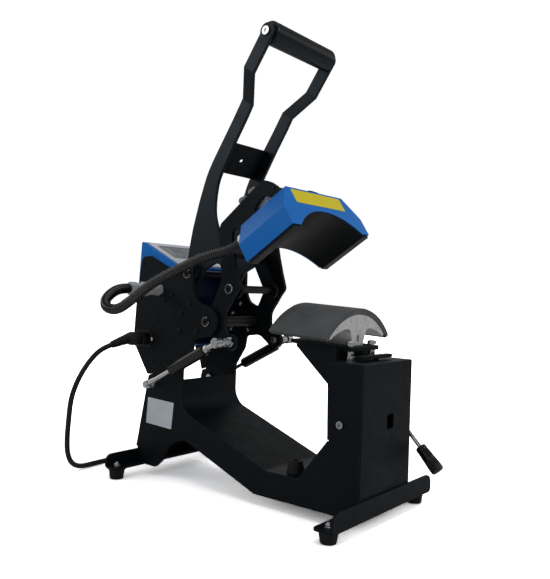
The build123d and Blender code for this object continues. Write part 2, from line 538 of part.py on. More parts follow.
add("handle_grip", solid_of(grip))
rod = cyl_x(GRIP_YZ[0], GRIP_YZ[1], 6.0, -HUP_I, HUP_I) + cyl_x(GRIP_YZ[0], GRIP_YZ[1], 4.0, -HUP_O, HUP_O)
for sg in (-1, 1):
    rod += cyl_x(GRIP_YZ[0], GRIP_YZ[1], 5.2, sg * HUP_O, sg * (HUP_O + 2.6))
    rod -= Pos(sg * (HUP_O + 2.6) - (1.8 if sg > 0 else 0), GRIP_YZ[0], GRIP_YZ[1]) * Rot(0, 90, 0) * extrude(RegularPolygon(2.5, 6), amount=1.8)
add("grip_rod", solid_of(rod))

# toggle links from the handle to the arm's toggle shaft
LINK_SLACK = 2.1     # radial slack of the link on the toggle shaft


def link(sg):
    x0, x1 = (-LNK_O, -LNK_I) if sg < 0 else (LNK_I, LNK_O)
    v = (B_YZ[0] - H_YZ[0], B_YZ[1] - H_YZ[1])
    l = math.hypot(*v)
    n = (-v[1] / l * 9.5, v[0] / l * 9.5)
    p = yz_plate([(H_YZ[0] + n[0], H_YZ[1] + n[1]), (B_YZ[0] + n[0], B_YZ[1] + n[1]), (B_YZ[0] - n[0], B_YZ[1] - n[1]), (H_YZ[0] - n[0], H_YZ[1] - n[1])], x0, x1)
    p += cyl_x(H_YZ[0], H_YZ[1], 10.5, x0, x1)
    p += cyl_x(B_YZ[0], B_YZ[1], 12.0, x0, x1)
    p -= cyl_x(H_YZ[0], H_YZ[1], 4.0 + 0.0, x0 - 1, x1 + 1)
    p -= cyl_x(B_YZ[0], B_YZ[1], SHAFT_R + LINK_SLACK, x0 - 1, x1 + 1)
    return solid_of(p)


add("toggle_links", link(-1), link(1))
add("link_pin", solid_of(cyl_x(H_YZ[0], H_YZ[1], 4.0 - FIT, -HAN_O - 0.1, HAN_O + 0.1)))

# ------------------------------------------------------------------ gas springs
gd = (D_YZ[0] - G_YZ[0], D_YZ[1] - G_YZ[1])
GL = math.hypot(*gd)
gu = (gd[0] / GL, gd[1] / GL)
TUBE_A, TUBE_B = 51.4, 118.5      # start and end of the cylinder along G -> D


def along(t, x):
    return (x, G_YZ[0] + gu[0] * t, G_YZ[1] + gu[1] * t)


for name, sg in (("left", -1), ("right", 1)):
    x = sg * SPR_X
    pl = Plane(origin=along(TUBE_A, x), x_dir=(1, 0, 0), z_dir=(0, gu[0], gu[1]))
    prof = make_face(Polyline((ROD_R + 0.06, 0), (6.4, 0), (TUBE_R, 1.2), (TUBE_R, TUBE_B - TUBE_A - 1.2), (6.4, TUBE_B - TUBE_A),
                              (0, TUBE_B - TUBE_A), (0, TUBE_B - TUBE_A - 8.0), (6.2, TUBE_B - TUBE_A - 8.0), (6.2, 10.0), (ROD_R + 0.06, 10.0), (ROD_R + 0.06, 0)))
    tube = pl * revolve(Plane.XZ * prof, Axis.Z)
    neck = rod_between(along(TUBE_B, x), along(GL - 5.5, x), 3.6)
    nut = Plane(origin=along(TUBE_B + 2.0, x), x_dir=(1, 0, 0), z_dir=(0, gu[0], gu[1])) * hexa(5.4, 4.5)
    eye = cyl_x(D_YZ[0], D_YZ[1], 6.5, x - 4.2, x + 4.2)
    tube = tube + neck + nut + eye
    tube -= cyl_x(D_YZ[0], D_YZ[1], 3.0 + 1.6, x - 8, x + 8)
    add("gas_tube_" + name, solid_of(tube))
    rodg = rod_between(along(11.0, x), along(82.0, x), ROD_R)
    rodg += Plane(origin=along(78.0, x), x_dir=(1, 0, 0), z_dir=(0, gu[0], gu[1])) * Cylinder(6.1, 4.0)
    fork = rod_between(along(3.0, x), along(17.0, x), 3.7)
    eye2 = cyl_x(G_YZ[0], G_YZ[1], 5.6, x - 3.8, x + 3.8)
    rodg = rodg + fork + eye2
    rodg -= cyl_x(G_YZ[0], G_YZ[1], 3.0 + FIT, x - 8, x + 8)
    add("gas_rod_" + name, solid_of(rodg))

# ------------------------------------------------------------------ control box
CBX = 49.8
cb = [(298.0, 289.2, 2), (375.0, 325.0, 2), (379.0, 268.0, 60), (383.5, 234.0, 60), (386.0, 198.0, 20), (385.4, 175.5, 2), (340.0, 175.5, 3),
      (319.6, 180.5, 3), (315.0, 203.0, 60), (298.0, 246.0, 20)]
cbi = [(299.8, 288.2), (373.2, 322.3), (377.2, 268.0, 58), (381.7, 234.0, 58), (384.2, 198.0, 18), (383.7, 177.1, 1), (340.3, 177.1, 1),
       (321.0, 181.8, 1), (317.0, 203.0, 60), (299.8, 246.4, 20)]
shell = yz_plate(cb, -CBX, CBX) - yz_plate(cbi, -CBX + 1.5, CBX - 1.5)
pn = (math.atan2(325.0 - 289.2, 375.0 - 298.0))
pang = math.degrees(pn)
panel_loc = Location((0, 298.0, 289.2), (pang, 0, 0))   # +y up the slope, z off the panel
BTN = [("button_up", -16.0), ("button_down", 0.0), ("button_set", 16.0)]
shell -= panel_loc * box(-32.0, 32.0, 30.0, 68.0, -4, 4)
for _, bx in BTN:
    shell -= panel_loc * cyl_z(bx, 17.0, 5.2, -4, 4)
inlet_y, inlet_z = 363.0, 188.0
shell -= box(-60, -45, inlet_y - 14.5, inlet_y + 14.5, inlet_z - 10.5, inlet_z + 10.5)
shell -= cyl_x(333.0, 257.5, 6.0, -60, -45)
sw_y, sw_z = 352.0, 226.0
shell -= box(45, 60, sw_y - 9.6, sw_y + 9.6, sw_z - 6.6, sw_z + 6.6)
add("control_box_cover", solid_of(shell))

sd = [(297.6, 280.0, 5), (352.0, 303.5, 6), (371.0, 303.0, 10), (376.0, 268.0, 60), (380.5, 234.0, 60), (383.0, 198.0, 20), (381.5, 178.5, 12), (352.6, 138.6, 1.5),
      (347.4, 138.7), (339.4, 141.2, 1), (334.4, 150.4, 20), (312.4, 213.9, 60), (297.5, 250.2, 30)]
sd_r = sd[:5] + [(382.6, 206.5, 8), (351.5, 153.0, 6)] + sd[8:]
sides = []
for sg in (-1, 1):
    x0, x1 = (-CBX - 2.2, -CBX - 0.02) if sg < 0 else (CBX + 0.02, CBX + 2.2)
    s = yz_plate(sd if sg < 0 else sd_r, x0, x1)
    if sg < 0:
        s -= box(-60, -45, inlet_y - 14.5, inlet_y + 14.5, inlet_z - 10.5, inlet_z + 10.5)
        s -= cyl_x(333.0, 257.5, 6.0, -60, -45)
    else:
        s -= box(45, 60, sw_y - 9.6, sw_y + 9.6, sw_z - 6.6, sw_z + 6.6)
    sides.append(s)
BOX_SCREWS = [(324.0, 243.0), (309.5, 251.0), (339.0, 214.0), (344.0, 158.0), (368.0, 293.0)]
for i, sg in enumerate((-1, 1)):
    for (y, z) in BOX_SCREWS:
        if sg < 0 and abs(y - inlet_y) < 18 and abs(z - inlet_z) < 14:
            continue
        sides[i] -= cyl_x(y, z, 1.6, sg * 45, sg * 60)
        xo = sg * (CBX + 2.2)
        screws.append(solid_of(cyl_x(y, z, 1.6, sg * (CBX + 0.1), xo) + cyl_x(y, z, 3.2, xo, xo + sg * 1.6)))
add("control_box_sides", *[solid_of(s) for s in sides])

panel = panel_loc * (xy_plate([(-44.0, 5.0, 3), (44.0, 5.0, 3), (44.0, 79.0, 3), (-44.0, 79.0, 3)], 0.02, 0.9))
for _, bx in BTN:
    panel -= panel_loc * cyl_z(bx, 17.0, 5.2, -4, 4)
add("display_panel", solid_of(panel))
for nm, bx in BTN:
    b = panel_loc * (cyl_z(bx, 17.0, 4.9, -3.4, 2.0) + cyl_z(bx, 17.0, 4.2, 2.0, 2.3))
    add(nm, solid_of(b))
board = panel_loc * (box(-42.0, 42.0, 8.0, 72.0, -13.0, -11.4) + box(-30.0, 30.0, 31.0, 67.0, -11.4, -0.6))
for _, bx in BTN:
    board += panel_loc * cyl_z(bx, 17.0, 2.0, -11.4, -4.8)
add("control_board", solid_of(board))

# appliance inlet, flange outside the side sheet
inl = yz_plate([(inlet_y - 24.0, inlet_z, 5), (inlet_y - 14.5, inlet_z + 12.0, 5), (inlet_y + 14.5, inlet_z + 12.0, 5), (inlet_y + 21.0, inlet_z, 4),
                (inlet_y + 14.5, inlet_z - 12.0, 5), (inlet_y - 14.5, inlet_z - 12.0, 5)], -CBX - 3.6, -CBX - 2.22)
inl = inl + box(-CBX - 2.3, -24.0, inlet_y - 14.0, inlet_y + 14.0, inlet_z - 10.0, inlet_z + 10.0)
inl -= box(-60.0, -36.0, inlet_y - 12.4, inlet_y + 12.4, inlet_z - 8.4, inlet_z + 8.4)
for (py, pz) in ((-7.0, -2.0), (7.0, -2.0), (0.0, 2.5)):
    inl += box(-48.0, -35.0, inlet_y + py - 1.0, inlet_y + py + 1.0, inlet_z + pz - 2.0, inlet_z + pz + 2.0)
add("power_inlet", solid_of(inl))
# rocker switch on the other side
sw = box(CBX + 2.22, CBX + 3.6, sw_y - 11.5, sw_y + 11.5, sw_z - 8.0, sw_z + 8.0)
sw += box(CBX - 14.0, CBX + 2.3, sw_y - 9.4, sw_y + 9.4, sw_z - 6.4, sw_z + 6.4)
sw -= box(CBX - 8.0, CBX + 9.0, sw_y - 8.0, sw_y + 8.0, sw_z - 5.0, sw_z + 5.0)
add("switch_housing", solid_of(sw))
rk = Pos(0, 0, sw_z - 4.8) * extrude(make_face(Polyline((CBX - 6.5, sw_y - 2.0), (CBX - 1.0, sw_y - 7.2), (CBX + 3.0, sw_y - 7.3), (CBX + 1.4, sw_y), (CBX + 4.6, sw_y + 6.2), (CBX + 1.0, sw_y + 7.2), (CBX - 6.5, sw_y + 2.0), (CBX - 6.5, sw_y - 2.0))), amount=9.6)
add("switch_rocker", solid_of(rk))

add("frame_screws", *[solid_of(s) for s in screws])

# ------------------------------------------------------------------ conduit between the control box and the heater
# gland on the control box: thread, nut and sleeve, pointing to -X
gy, gz = 333.0, 257.5
g1 = cyl_x(gy, gz, 5.8, -CBX + 2.0, -105.0) + hex_x(gy, gz, 9.0, -CBX - 2.22, -CBX - 8.0)
g1 += hex_x(gy, gz, 9.6, -72.0, -84.0) + cyl_x(gy, gz, 8.2, -58.0, -94.0)
g1 += hex_x(gy, gz, 9.0, -94.0, -105.0)
g1 -= cyl_x(gy, gz, 4.2, -40, -110)
g2l = cyl_y(GL_X, GL_U, 4.8, COV_D - 6.0, COV_D + 11.0) + Pos(GL_X, COV_D + 0.02, GL_U) * Rot(-90, 0, 0) * hexa(8.6, 5.0)
g2l += Pos(GL_X, COV_D + 5.0, GL_U) * Rot(-90, 0, 0) * hexa(8.2, 6.0)
g2l += Pos(GL_X, COV_D - 4.6, GL_U) * Rot(-90, 0, 0) * hexa(8.0, 3.0)
g2l -= cyl_y(GL_X, GL_U, 3.4, COV_D - 20.0, COV_D + 20.0)
add("conduit_gland_box", solid_of(g1))
add("conduit_gland_heater", solid_of(open_loc * g2l))


def tube_path(points, r, end_factor=0.45):
    """Round tube along straight runs joined by tangent arcs, with its radii."""
    pts = [Vector(*p) for p in points]
    radii = []
    for i in range(1, len(pts) - 1):
        a = (pts[i] - pts[i - 1])
        b = (pts[i + 1] - pts[i])
        turn = math.radians(a.get_angle(b))
        radii.append(end_factor * min(a.length, b.length) / math.tan(turn / 2))
    line = FilletPolyline(*[tuple(p) for p in pts], radius=radii)
    d = (pts[1] - pts[0]).normalized()
    sec = Plane(origin=tuple(pts[0]), z_dir=tuple(d)) * Circle(r)
    s = sweep(sec, path=line)
    ln = sum(e.length for e in line.edges())
    print("  tube: length %.1f, section x length %.0f, volume %.0f, min radius %.1f" % (ln, math.pi * r * r * ln, s.volume, min(radii)))
    print("  radii", [round(x, 1) for x in radii])
    return s, ln


def w(x, a, u):
    v = Vector(x, a, u)
    t = math.radians(PLATEN_TILT)
    return (x, PLATEN_P0[1] + a * math.cos(t) - u * math.sin(t), PLATEN_P0[2] + a * math.sin(t) + u * math.cos(t))


e0 = w(GL_X, COV_D + 11.0, GL_U)
e1 = w(GL_X, COV_D + 26.0, GL_U)
COND = [(-105.0, gy, gz), (-119.0, gy, gz), (-132.9, 335.1, 250.7), (-143.7, 333.0, 240.9), (-148.6, 323.1, 232.2),
        (-144.1, 308.1, 229.7), (-132.8, 294.9, 242.2), (-119.7, 282.5, 259.6), (-104.8, 264.6, 274.6),
        (-91.8, 245.6, 286.6), (-77.6, 221.8, 301.0), e1, e0]
cond, cond_len = tube_path(COND, COND_R)
add("cable_conduit", solid_of(cond))
print("conduit length", round(cond_len, 1))

# ------------------------------------------------------------------ mains lead
cx0 = -CBX - 3.62
con = box(cx0 - 27.0, cx0, inlet_y - 13.6, inlet_y + 13.6, inlet_z - 8.6, inlet_z + 8.6)
con = chamfer(con.edges().filter_by(Axis.X), 3.0)
con += box(cx0, cx0 + 13.0, inlet_y - 12.0, inlet_y + 12.0, inlet_z - 8.0, inlet_z + 8.0)
for (py, pz) in ((-7.0, -2.0), (7.0, -2.0), (0.0, 2.5)):
    con -= box(cx0 - 2.0, cx0 + 14.0, inlet_y + py - 1.4, inlet_y + py + 1.4, inlet_z + pz - 2.4, inlet_z + pz + 2.4)
base = Vector(cx0 - 27.0, inlet_y, inlet_z)
bd = Vector(-0.94, 0.15, -0.30).normalized()
sr = Plane(origin=tuple(base), x_dir=(0, 1, 0), z_dir=tuple(bd)) * revolve(Plane.XZ * make_face(Polyline((0, -3), (7.4, -3), (7.4, 2.0), (5.2, 24.5), (0, 24.5), (0, -3))), Axis.Z)
con = con + sr
add("cord_connector", solid_of(con))
COIL_C = (86.0, 446.0)
COIL_R = 39.0
tip = base + bd * 24.5
c1 = tip + bd * 13.0
CORD = [tuple(tip), tuple(c1), (-126.5, 373.0, 167.5), (-136.0, 379.5, 152.0), (-143.4, 387.0, 131.5), (-146.4, 395.0, 108.0),
        (-143.1, 403.0, 79.7), (-139.5, 410.5, 52.0), (-134.5, 416.0, 30.0), (-124.0, 421.0, 13.5), (-107.0, 426.0, 5.0),
        (-84.0, 431.0, 3.6), (-56.0, 434.0, 3.5), (-25.0, 431.5, 3.5), (7.0, 423.5, 3.5), (36.0, 412.0, 3.5), (57.0, 404.0, 3.5)]
print("lead route", [tuple(round(v, 2) for v in p) for p in CORD])
cord, cord_len = tube_path(CORD, CORD_R)
add("power_cord", solid_of(cord))
print("cord tube length", round(cord_len, 1))
coil = Pos(COIL_C[0], COIL_C[1], 0) * (Pos(0, 0, 7.2) * Cylinder(COIL_R + 10.5, 14.4) - Pos(0, 0, 7.2) * Cylinder(COIL_R - 10.5, 20.0))
add("cord_coil", solid_of(coil))
# moulded mains plug, lying on the coil
pz0 = 14.6
pl0 = box(-13.5, 13.5, 0.0, 24.0, 0.0, 23.0)
pl0 = chamfer(pl0.edges().filter_by(Axis.Y), 4.0)
pl0 += cyl_y(0, 11.5, 6.0, -24.0, 0.5)
for (qx, qz, ww, hh) in ((-6.35, 15.0, 1.5, 6.3), (6.35, 15.0, 1.5, 6.3)):
    pl0 += box(qx - ww / 2, qx + ww / 2, 24.0, 41.0, qz - hh / 2, qz + hh / 2)
pl0 += cyl_y(0, 5.6, 2.4, 23.5, 43.0)
plug = Pos(60.9, 447.9, pz0) * Rot(0, 0, 128.4) * pl0
add("mains_plug", solid_of(plug))

# ------------------------------------------------------------------ shift and write
CORD_NODES = ("power_cord", "cord_coil", "cord_connector", "mains_plug")
lo = [1e9] * 3
hi = [-1e9] * 3
for k, s in parts.items():
    if k in CORD_NODES:
        continue
    b = s.bounding_box()
    for i, (p, q) in enumerate(zip((b.min.X, b.min.Y, b.min.Z), (b.max.X, b.max.Y, b.max.Z))):
        lo[i] = min(lo[i], p)
        hi[i] = max(hi[i], q)
print("box", [round(v, 3) for v in lo], [round(v, 3) for v in hi])
Y_SHIFT = -172.8
X_SHIFT = 22.1
print("wanted shift", -(lo[0] + hi[0]) / 2, -(lo[1] + hi[1]) / 2)

if __name__ == "__main__":
    os.makedirs("parts", exist_ok=True)
    for k, s in parts.items():
        t = Pos(X_SHIFT, Y_SHIFT, 0) * s
        sol = t.solids()
        out = sol[0] if len(sol) == 1 else Compound(children=list(sol))
        export_step(out, "parts/%s.step" % k)
    print(len(parts), "nodes")
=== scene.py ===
import bpy, bmesh, json, math
from mathutils import Vector, Matrix


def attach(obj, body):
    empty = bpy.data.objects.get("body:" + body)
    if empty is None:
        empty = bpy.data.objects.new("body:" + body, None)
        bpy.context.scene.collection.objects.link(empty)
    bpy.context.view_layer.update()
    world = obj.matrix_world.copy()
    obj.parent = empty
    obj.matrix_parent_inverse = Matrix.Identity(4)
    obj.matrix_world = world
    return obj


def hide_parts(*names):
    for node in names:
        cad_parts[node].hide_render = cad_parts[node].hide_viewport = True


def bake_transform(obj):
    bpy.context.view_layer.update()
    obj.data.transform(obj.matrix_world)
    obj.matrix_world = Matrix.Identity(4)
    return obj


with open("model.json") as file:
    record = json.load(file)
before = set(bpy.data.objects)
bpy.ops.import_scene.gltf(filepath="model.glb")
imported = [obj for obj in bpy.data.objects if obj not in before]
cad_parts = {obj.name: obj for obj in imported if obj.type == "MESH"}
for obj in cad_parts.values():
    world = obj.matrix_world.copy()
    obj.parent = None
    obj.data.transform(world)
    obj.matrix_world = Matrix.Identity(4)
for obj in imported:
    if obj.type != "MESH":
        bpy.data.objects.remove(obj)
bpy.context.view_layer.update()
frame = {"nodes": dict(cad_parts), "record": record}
N = frame["nodes"]
XS, YS = 22.1, -172.8            # shift of the drawing axes, mm
sin, cos, pi = math.sin, math.cos, math.pi


def P(x, y, z):
    """Drawing axes in mm to the row frame in metres."""
    return Vector(((x + XS) / 1000.0, (y + YS) / 1000.0, z / 1000.0))


TILT = math.radians(-33.4)


def wp(x, a, u):
    """Platen axes (lateral, rearward, up) to the drawing axes, upper platen open."""
    return (x, 81.4 + a * cos(TILT) - u * sin(TILT), 337.3 + a * sin(TILT) + u * cos(TILT))


A_YZ, B_YZ, C_YZ = (276.2, 279.6), (205.7, 260.9), (239.5, 217.5)
H_YZ, D_YZ, G_YZ = (229.0, 304.0), (202.0, 193.4), (328.0, 128.5)
AXIS_U = (0.0, -sin(TILT), cos(TILT))      # the upper platen's up direction
AXIS_A = (0.0, cos(TILT), sin(TILT))       # the upper platen's rearward direction

# ------------------------------------------------------------------ camera
yaw, pitch, roll = 0.897446582, 0.00145434754, 0.0317802752
fwd = Vector((sin(yaw) * cos(pitch), cos(yaw) * cos(pitch), sin(pitch)))
right = Vector((cos(yaw), -sin(yaw), 0.0))
up = right.cross(fwd)
r2 = right * cos(roll) + up * sin(roll)
u2 = -right * sin(roll) + up * cos(roll)
cam_data = bpy.data.cameras.new("camera")
cam_data.sensor_width = 36.0
cam_data.lens = 685.27 / 579.0 * 36.0
cam_data.clip_start, cam_data.clip_end = 0.02, 60.0
cam = bpy.data.objects.new("camera", cam_data)
bpy.context.scene.collection.objects.link(cam)
m = Matrix(((r2.x, u2.x, -fwd.x), (r2.y, u2.y, -fwd.y), (r2.z, u2.z, -fwd.z))).to_4x4()
m.translation = P(-693.21, -382.91, 260.83)
cam.matrix_world = m
bpy.context.scene.camera = cam
bpy.context.scene.view_settings.view_transform = "Standard"
bpy.context.scene.view_settings.look = "None"


# ------------------------------------------------------------------ materials
class Mat:
    """A node material with colour variation, roughness variation, fine relief and worn edges."""

    def __init__(self, name, c0, c1, rough=(0.4, 0.5), metal=0.0, spec=0.5, cscale=30.0, bump=(900.0, 0.05), strength=0.35,
                 coat=0.0, coat_rough=0.1, edge=None, edge_mm=0.7, sheen=0.0, stretch=None, relief2=None, speck=None, trans=0.0, tint=(1.0, 1.0, 1.0)):
        self.m = bpy.data.materials.new(name)
        self.m.use_nodes = True
        self.nt = self.m.node_tree
        self.b = self.nt.nodes["Principled BSDF"]
        self.m.diffuse_color = (c0[0], c0[1], c0[2], 1)
        tc = self.node("ShaderNodeTexCoord")
        self.co = tc.outputs["Object"]
        src = self.co
        if stretch:
            mp = self.node("ShaderNodeMapping")
            mp.inputs["Scale"].default_value = stretch
            self.link(self.co, mp.inputs["Vector"])
            src = mp.outputs["Vector"]
        self.src = src
        big = self.noise(self.co, cscale, 4.0, 0.55)
        f = self.ramp(big, 0.32, 0.68, 0.0, 1.0)
        col = self.mix(f, c0, c1)
        if speck:
            sp = self.noise(src, speck[0], 2.0, 0.5)
            col = self.mix(self.ramp(sp, speck[1], speck[1] + 0.08, 0.0, speck[3]), col, speck[2])
        rn = self.noise(self.co, cscale * 2.7, 3.0, 0.6)
        ro = self.ramp(rn, 0.3, 0.7, rough[0], rough[1])
        if edge:
            bev = self.node("ShaderNodeBevel")
            bev.samples = 4
            bev.inputs["Radius"].default_value = edge_mm / 1000.0
            geo = self.node("ShaderNodeNewGeometry")
            dot = self.node("ShaderNodeVectorMath"); dot.operation = "DOT_PRODUCT"
            self.link(bev.outputs["Normal"], dot.inputs[0])
            self.link(geo.outputs["Normal"], dot.inputs[1])
            e = self.ramp(dot.outputs["Value"], 0.90, 0.985, 1.0, 0.0)
            wear = self.noise(self.co, 190.0, 4.0, 0.65)
            e2 = self.math("MULTIPLY", e, self.ramp(wear, 0.38, 0.62, 0.25, 1.0))
            col = self.mix(e2, col, edge)
        self.col, self.ro = col, ro
        self.link(col, self.b.inputs["Base Color"])
        self.link(ro, self.b.inputs["Roughness"])
        self.b.inputs["Metallic"].default_value = metal
        self.b.inputs["Specular IOR Level"].default_value = spec
        self.b.inputs["Specular Tint"].default_value = tint + (1.0,)
        self.b.inputs["Coat Weight"].default_value = coat
        self.b.inputs["Coat Roughness"].default_value = coat_rough
        if sheen:
            self.b.inputs["Sheen Weight"].default_value = sheen
            self.b.inputs["Sheen Roughness"].default_value = 0.45
        if trans:
            self.b.inputs["Transmission Weight"].default_value = trans
        h = self.noise(src, bump[0], 2.0, 0.5)
        bp = self.node("ShaderNodeBump")
        bp.inputs["Strength"].default_value = strength
        bp.inputs["Distance"].default_value = bump[1] / 1000.0
        self.link(h, bp.inputs["Height"])
        last = bp
        if relief2:
            h2 = self.noise(self.co, relief2[0], 5.0, 0.6)
            b2 = self.node("ShaderNodeBump")
            b2.inputs["Strength"].default_value = relief2[2]
            b2.inputs["Distance"].default_value = relief2[1] / 1000.0
            self.link(h2, b2.inputs["Height"])
            self.link(bp.outputs["Normal"], b2.inputs["Normal"])
            last = b2
        self.last = last
        self.link(last.outputs["Normal"], self.b.inputs["Normal"])

    def node(self, kind):
        return self.nt.nodes.new(kind)

    def link(self, a, b):
        self.nt.links.new(a, b)

    def noise(self, vec, scale, detail, rough):
        n = self.node("ShaderNodeTexNoise")
        n.inputs["Scale"].default_value = scale
        n.inputs["Detail"].default_value = detail
        n.inputs["Roughness"].default_value = rough
        self.link(vec, n.inputs["Vector"])
        return n.outputs["Fac"]

    def ramp(self, v, a, b, c, d):
        n = self.node("ShaderNodeMapRange")
        for k, x in (("From Min", a), ("From Max", b), ("To Min", c), ("To Max", d)):
            n.inputs[k].default_value = x
        self.link(v, n.inputs["Value"])
        return n.outputs["Result"]

    def math(self, op, a, b):
        n = self.node("ShaderNodeMath"); n.operation = op
        for i, x in enumerate((a, b)):
            if isinstance(x, (int, float)):
                n.inputs[i].default_value = x
            else:
                self.link(x, n.inputs[i])
        return n.outputs[0]

    def mix(self, f, a, b):
        n = self.node("ShaderNodeMix"); n.data_type = "RGBA"
        self.link(f, n.inputs[0])
        for i, x in ((6, a), (7, b)):
            if isinstance(x, (tuple, list)):
                n.inputs[i].default_value = (x[0], x[1], x[2], 1.0)
            else:
                self.link(x, n.inputs[i])
        return n.outputs[2]

    def blend(self, f, a, b):
        """Mixes two numbers by f."""
        n = self.node("ShaderNodeMix"); n.data_type = "FLOAT"
        self.link(f, n.inputs[0])
        for i, x in ((2, a), (3, b)):
            if isinstance(x, (int, float)):
                n.inputs[i].default_value = x
            else:
                self.link(x, n.inputs[i])
        return n.outputs[0]

    def dist(self, point, axes, at, step=0.00005):
        """1 where the distance from a point along the given axes is over at metres."""
        sub = self.node("ShaderNodeVectorMath"); sub.operation = "SUBTRACT"
        self.link(self.co, sub.inputs[0]); sub.inputs[1].default_value = point
        mul = self.node("ShaderNodeVectorMath"); mul.operation = "MULTIPLY"
        self.link(sub.outputs[0], mul.inputs[0]); mul.inputs[1].default_value = axes
        ln = self.node("ShaderNodeVectorMath"); ln.operation = "LENGTH"
        self.link(mul.outputs[0], ln.inputs[0])
        return self.ramp(ln.outputs["Value"], at - step, at + step, 0.0, 1.0)

    def second(self, f, c0, c1, rough, metal=1.0, cscale=60.0, metal0=0.0):
        """Where f is 1 the surface is this other finish."""
        n = self.noise(self.co, cscale, 4.0, 0.6)
        col = self.mix(self.ramp(n, 0.3, 0.7, 0.0, 1.0), c0, c1)
        self.link(self.mix(f, self.col, col), self.b.inputs["Base Color"])
        self.link(self.blend(f, self.ro, self.ramp(n, 0.3, 0.7, rough[0], rough[1])), self.b.inputs["Roughness"])
        self.link(self.blend(f, metal0, metal), self.b.inputs["Metallic"])
        return self

    def bands(self, direction, pitch_mm, depth_mm, strength=0.6):
        """Relief in bands along a direction, such as a thread or turning marks."""
        d = Vector(direction).normalized()
        dp = self.node("ShaderNodeVectorMath"); dp.operation = "DOT_PRODUCT"
        self.link(self.co, dp.inputs[0]); dp.inputs[1].default_value = d
        s = self.math("SINE", self.math("MULTIPLY", dp.outputs["Value"], 2 * pi / (pitch_mm / 1000.0)), 0.0)
        b3 = self.node("ShaderNodeBump")
        b3.inputs["Strength"].default_value = strength
        b3.inputs["Distance"].default_value = depth_mm / 1000.0
        self.link(s, b3.inputs["Height"])
        self.link(self.last.outputs["Normal"], b3.inputs["Normal"])
        self.link(b3.outputs["Normal"], self.b.inputs["Normal"])
        self.last = b3
        return self


BLK = ((0.0042, 0.0056, 0.0070), (0.0060, 0.0076, 0.0094))


def coat_black(name, **k):
    a = dict(rough=(0.42, 0.54), spec=0.15, cscale=22.0, bump=(1500.0, 0.05), strength=0.30, edge=(0.036, 0.040, 0.045), edge_mm=0.6,
             tint=(0.72, 0.86, 1.0))
    a.update(k)
    return Mat(name, BLK[0], BLK[1], **a)


def steel(name, c=0.70, rough=(0.14, 0.26), **k):
    a = dict(metal=1.0, cscale=90.0, bump=(1400.0, 0.012), strength=0.25)
    a.update(k)
    return Mat(name, (c * 0.93, c * 0.94, c * 0.96), (c, c, c), rough=rough, **a)


S = {}
S["black_powder_coat"] = coat_black("black_powder_coat")
S["blue_paint"] = Mat("blue_paint", (0.008, 0.190, 0.680), (0.011, 0.215, 0.760), rough=(0.26, 0.36), spec=0.3, cscale=9.0,
                      bump=(420.0, 0.03), strength=0.25, coat=0.08, coat_rough=0.12, edge=(0.06, 0.34, 0.90), edge_mm=0.9, tint=(0.55, 0.80, 1.0))
S["cast_aluminium"] = Mat("cast_aluminium", (0.66, 0.665, 0.67), (0.86, 0.86, 0.87), rough=(0.40, 0.58), metal=0.35, cscale=70.0,
                          bump=(820.0, 0.28), strength=0.75, relief2=(120.0, 0.5, 0.5), speck=(600.0, 0.60, (0.16, 0.16, 0.17), 0.55),
                          edge=(0.72, 0.72, 0.73), edge_mm=0.8)
S["bright_steel"] = steel("bright_steel", 0.78, (0.10, 0.24))
S["dark_steel"] = Mat("dark_steel", (0.012, 0.013, 0.015), (0.020, 0.021, 0.024), rough=(0.30, 0.44), metal=0.55, spec=0.4, cscale=120.0,
                      bump=(1100.0, 0.03), strength=0.3, edge=(0.10, 0.10, 0.105), edge_mm=0.3)
S["ground_steel"] = steel("ground_steel", 0.46, (0.22, 0.36), speck=(300.0, 0.62, (0.18, 0.18, 0.19), 0.35))
S["black_rubber"] = Mat("black_rubber", (0.0065, 0.0070, 0.0078), (0.0100, 0.0105, 0.0115), rough=(0.50, 0.66), spec=0.25, cscale=90.0,
                        bump=(1000.0, 0.08), strength=0.35, edge=(0.030, 0.030, 0.031), edge_mm=0.5)
S["grey_pad"] = Mat("grey_pad", (0.090, 0.094, 0.098), (0.125, 0.129, 0.133), rough=(0.62, 0.78), spec=0.3, cscale=40.0,
                    bump=(650.0, 0.16), strength=0.5, speck=(480.0, 0.60, (0.10, 0.10, 0.105), 0.5))
S["grip_foam"] = Mat("grip_foam", (0.0040, 0.0048, 0.0060), (0.0062, 0.0072, 0.0088), rough=(0.28, 0.38), spec=0.36, cscale=60.0,
                     bump=(1100.0, 0.16), strength=0.30, relief2=(260.0, 0.05, 0.2), tint=(0.80, 0.90, 1.0))
S["black_plastic"] = Mat("black_plastic", (0.0055, 0.0058, 0.0066), (0.0085, 0.0088, 0.0098), rough=(0.30, 0.42), spec=0.35, cscale=60.0,
                         bump=(1300.0, 0.05), strength=0.35, edge=(0.035, 0.035, 0.037), edge_mm=0.35)
S["gloss_black"] = Mat("gloss_black", (0.0035, 0.0035, 0.0040), (0.0055, 0.0055, 0.0060), rough=(0.12, 0.22), spec=0.4, cscale=80.0,
                       bump=(300.0, 0.01), strength=0.2, coat=0.2, coat_rough=0.08)
S["platen_coat"] = Mat("platen_coat", (0.0045, 0.0055, 0.0066), (0.0075, 0.0085, 0.0098), rough=(0.30, 0.42), spec=0.28, cscale=14.0,
                       bump=(260.0, 0.03), strength=0.25, relief2=(30.0, 0.2, 0.12), edge=(0.06, 0.06, 0.065), edge_mm=0.6)
S["insulation"] = Mat("insulation", (0.42, 0.39, 0.33), (0.55, 0.52, 0.45), rough=(0.8, 0.92), spec=0.2, cscale=60.0,
                      bump=(520.0, 0.5), strength=0.7, speck=(350.0, 0.58, (0.30, 0.27, 0.22), 0.6))
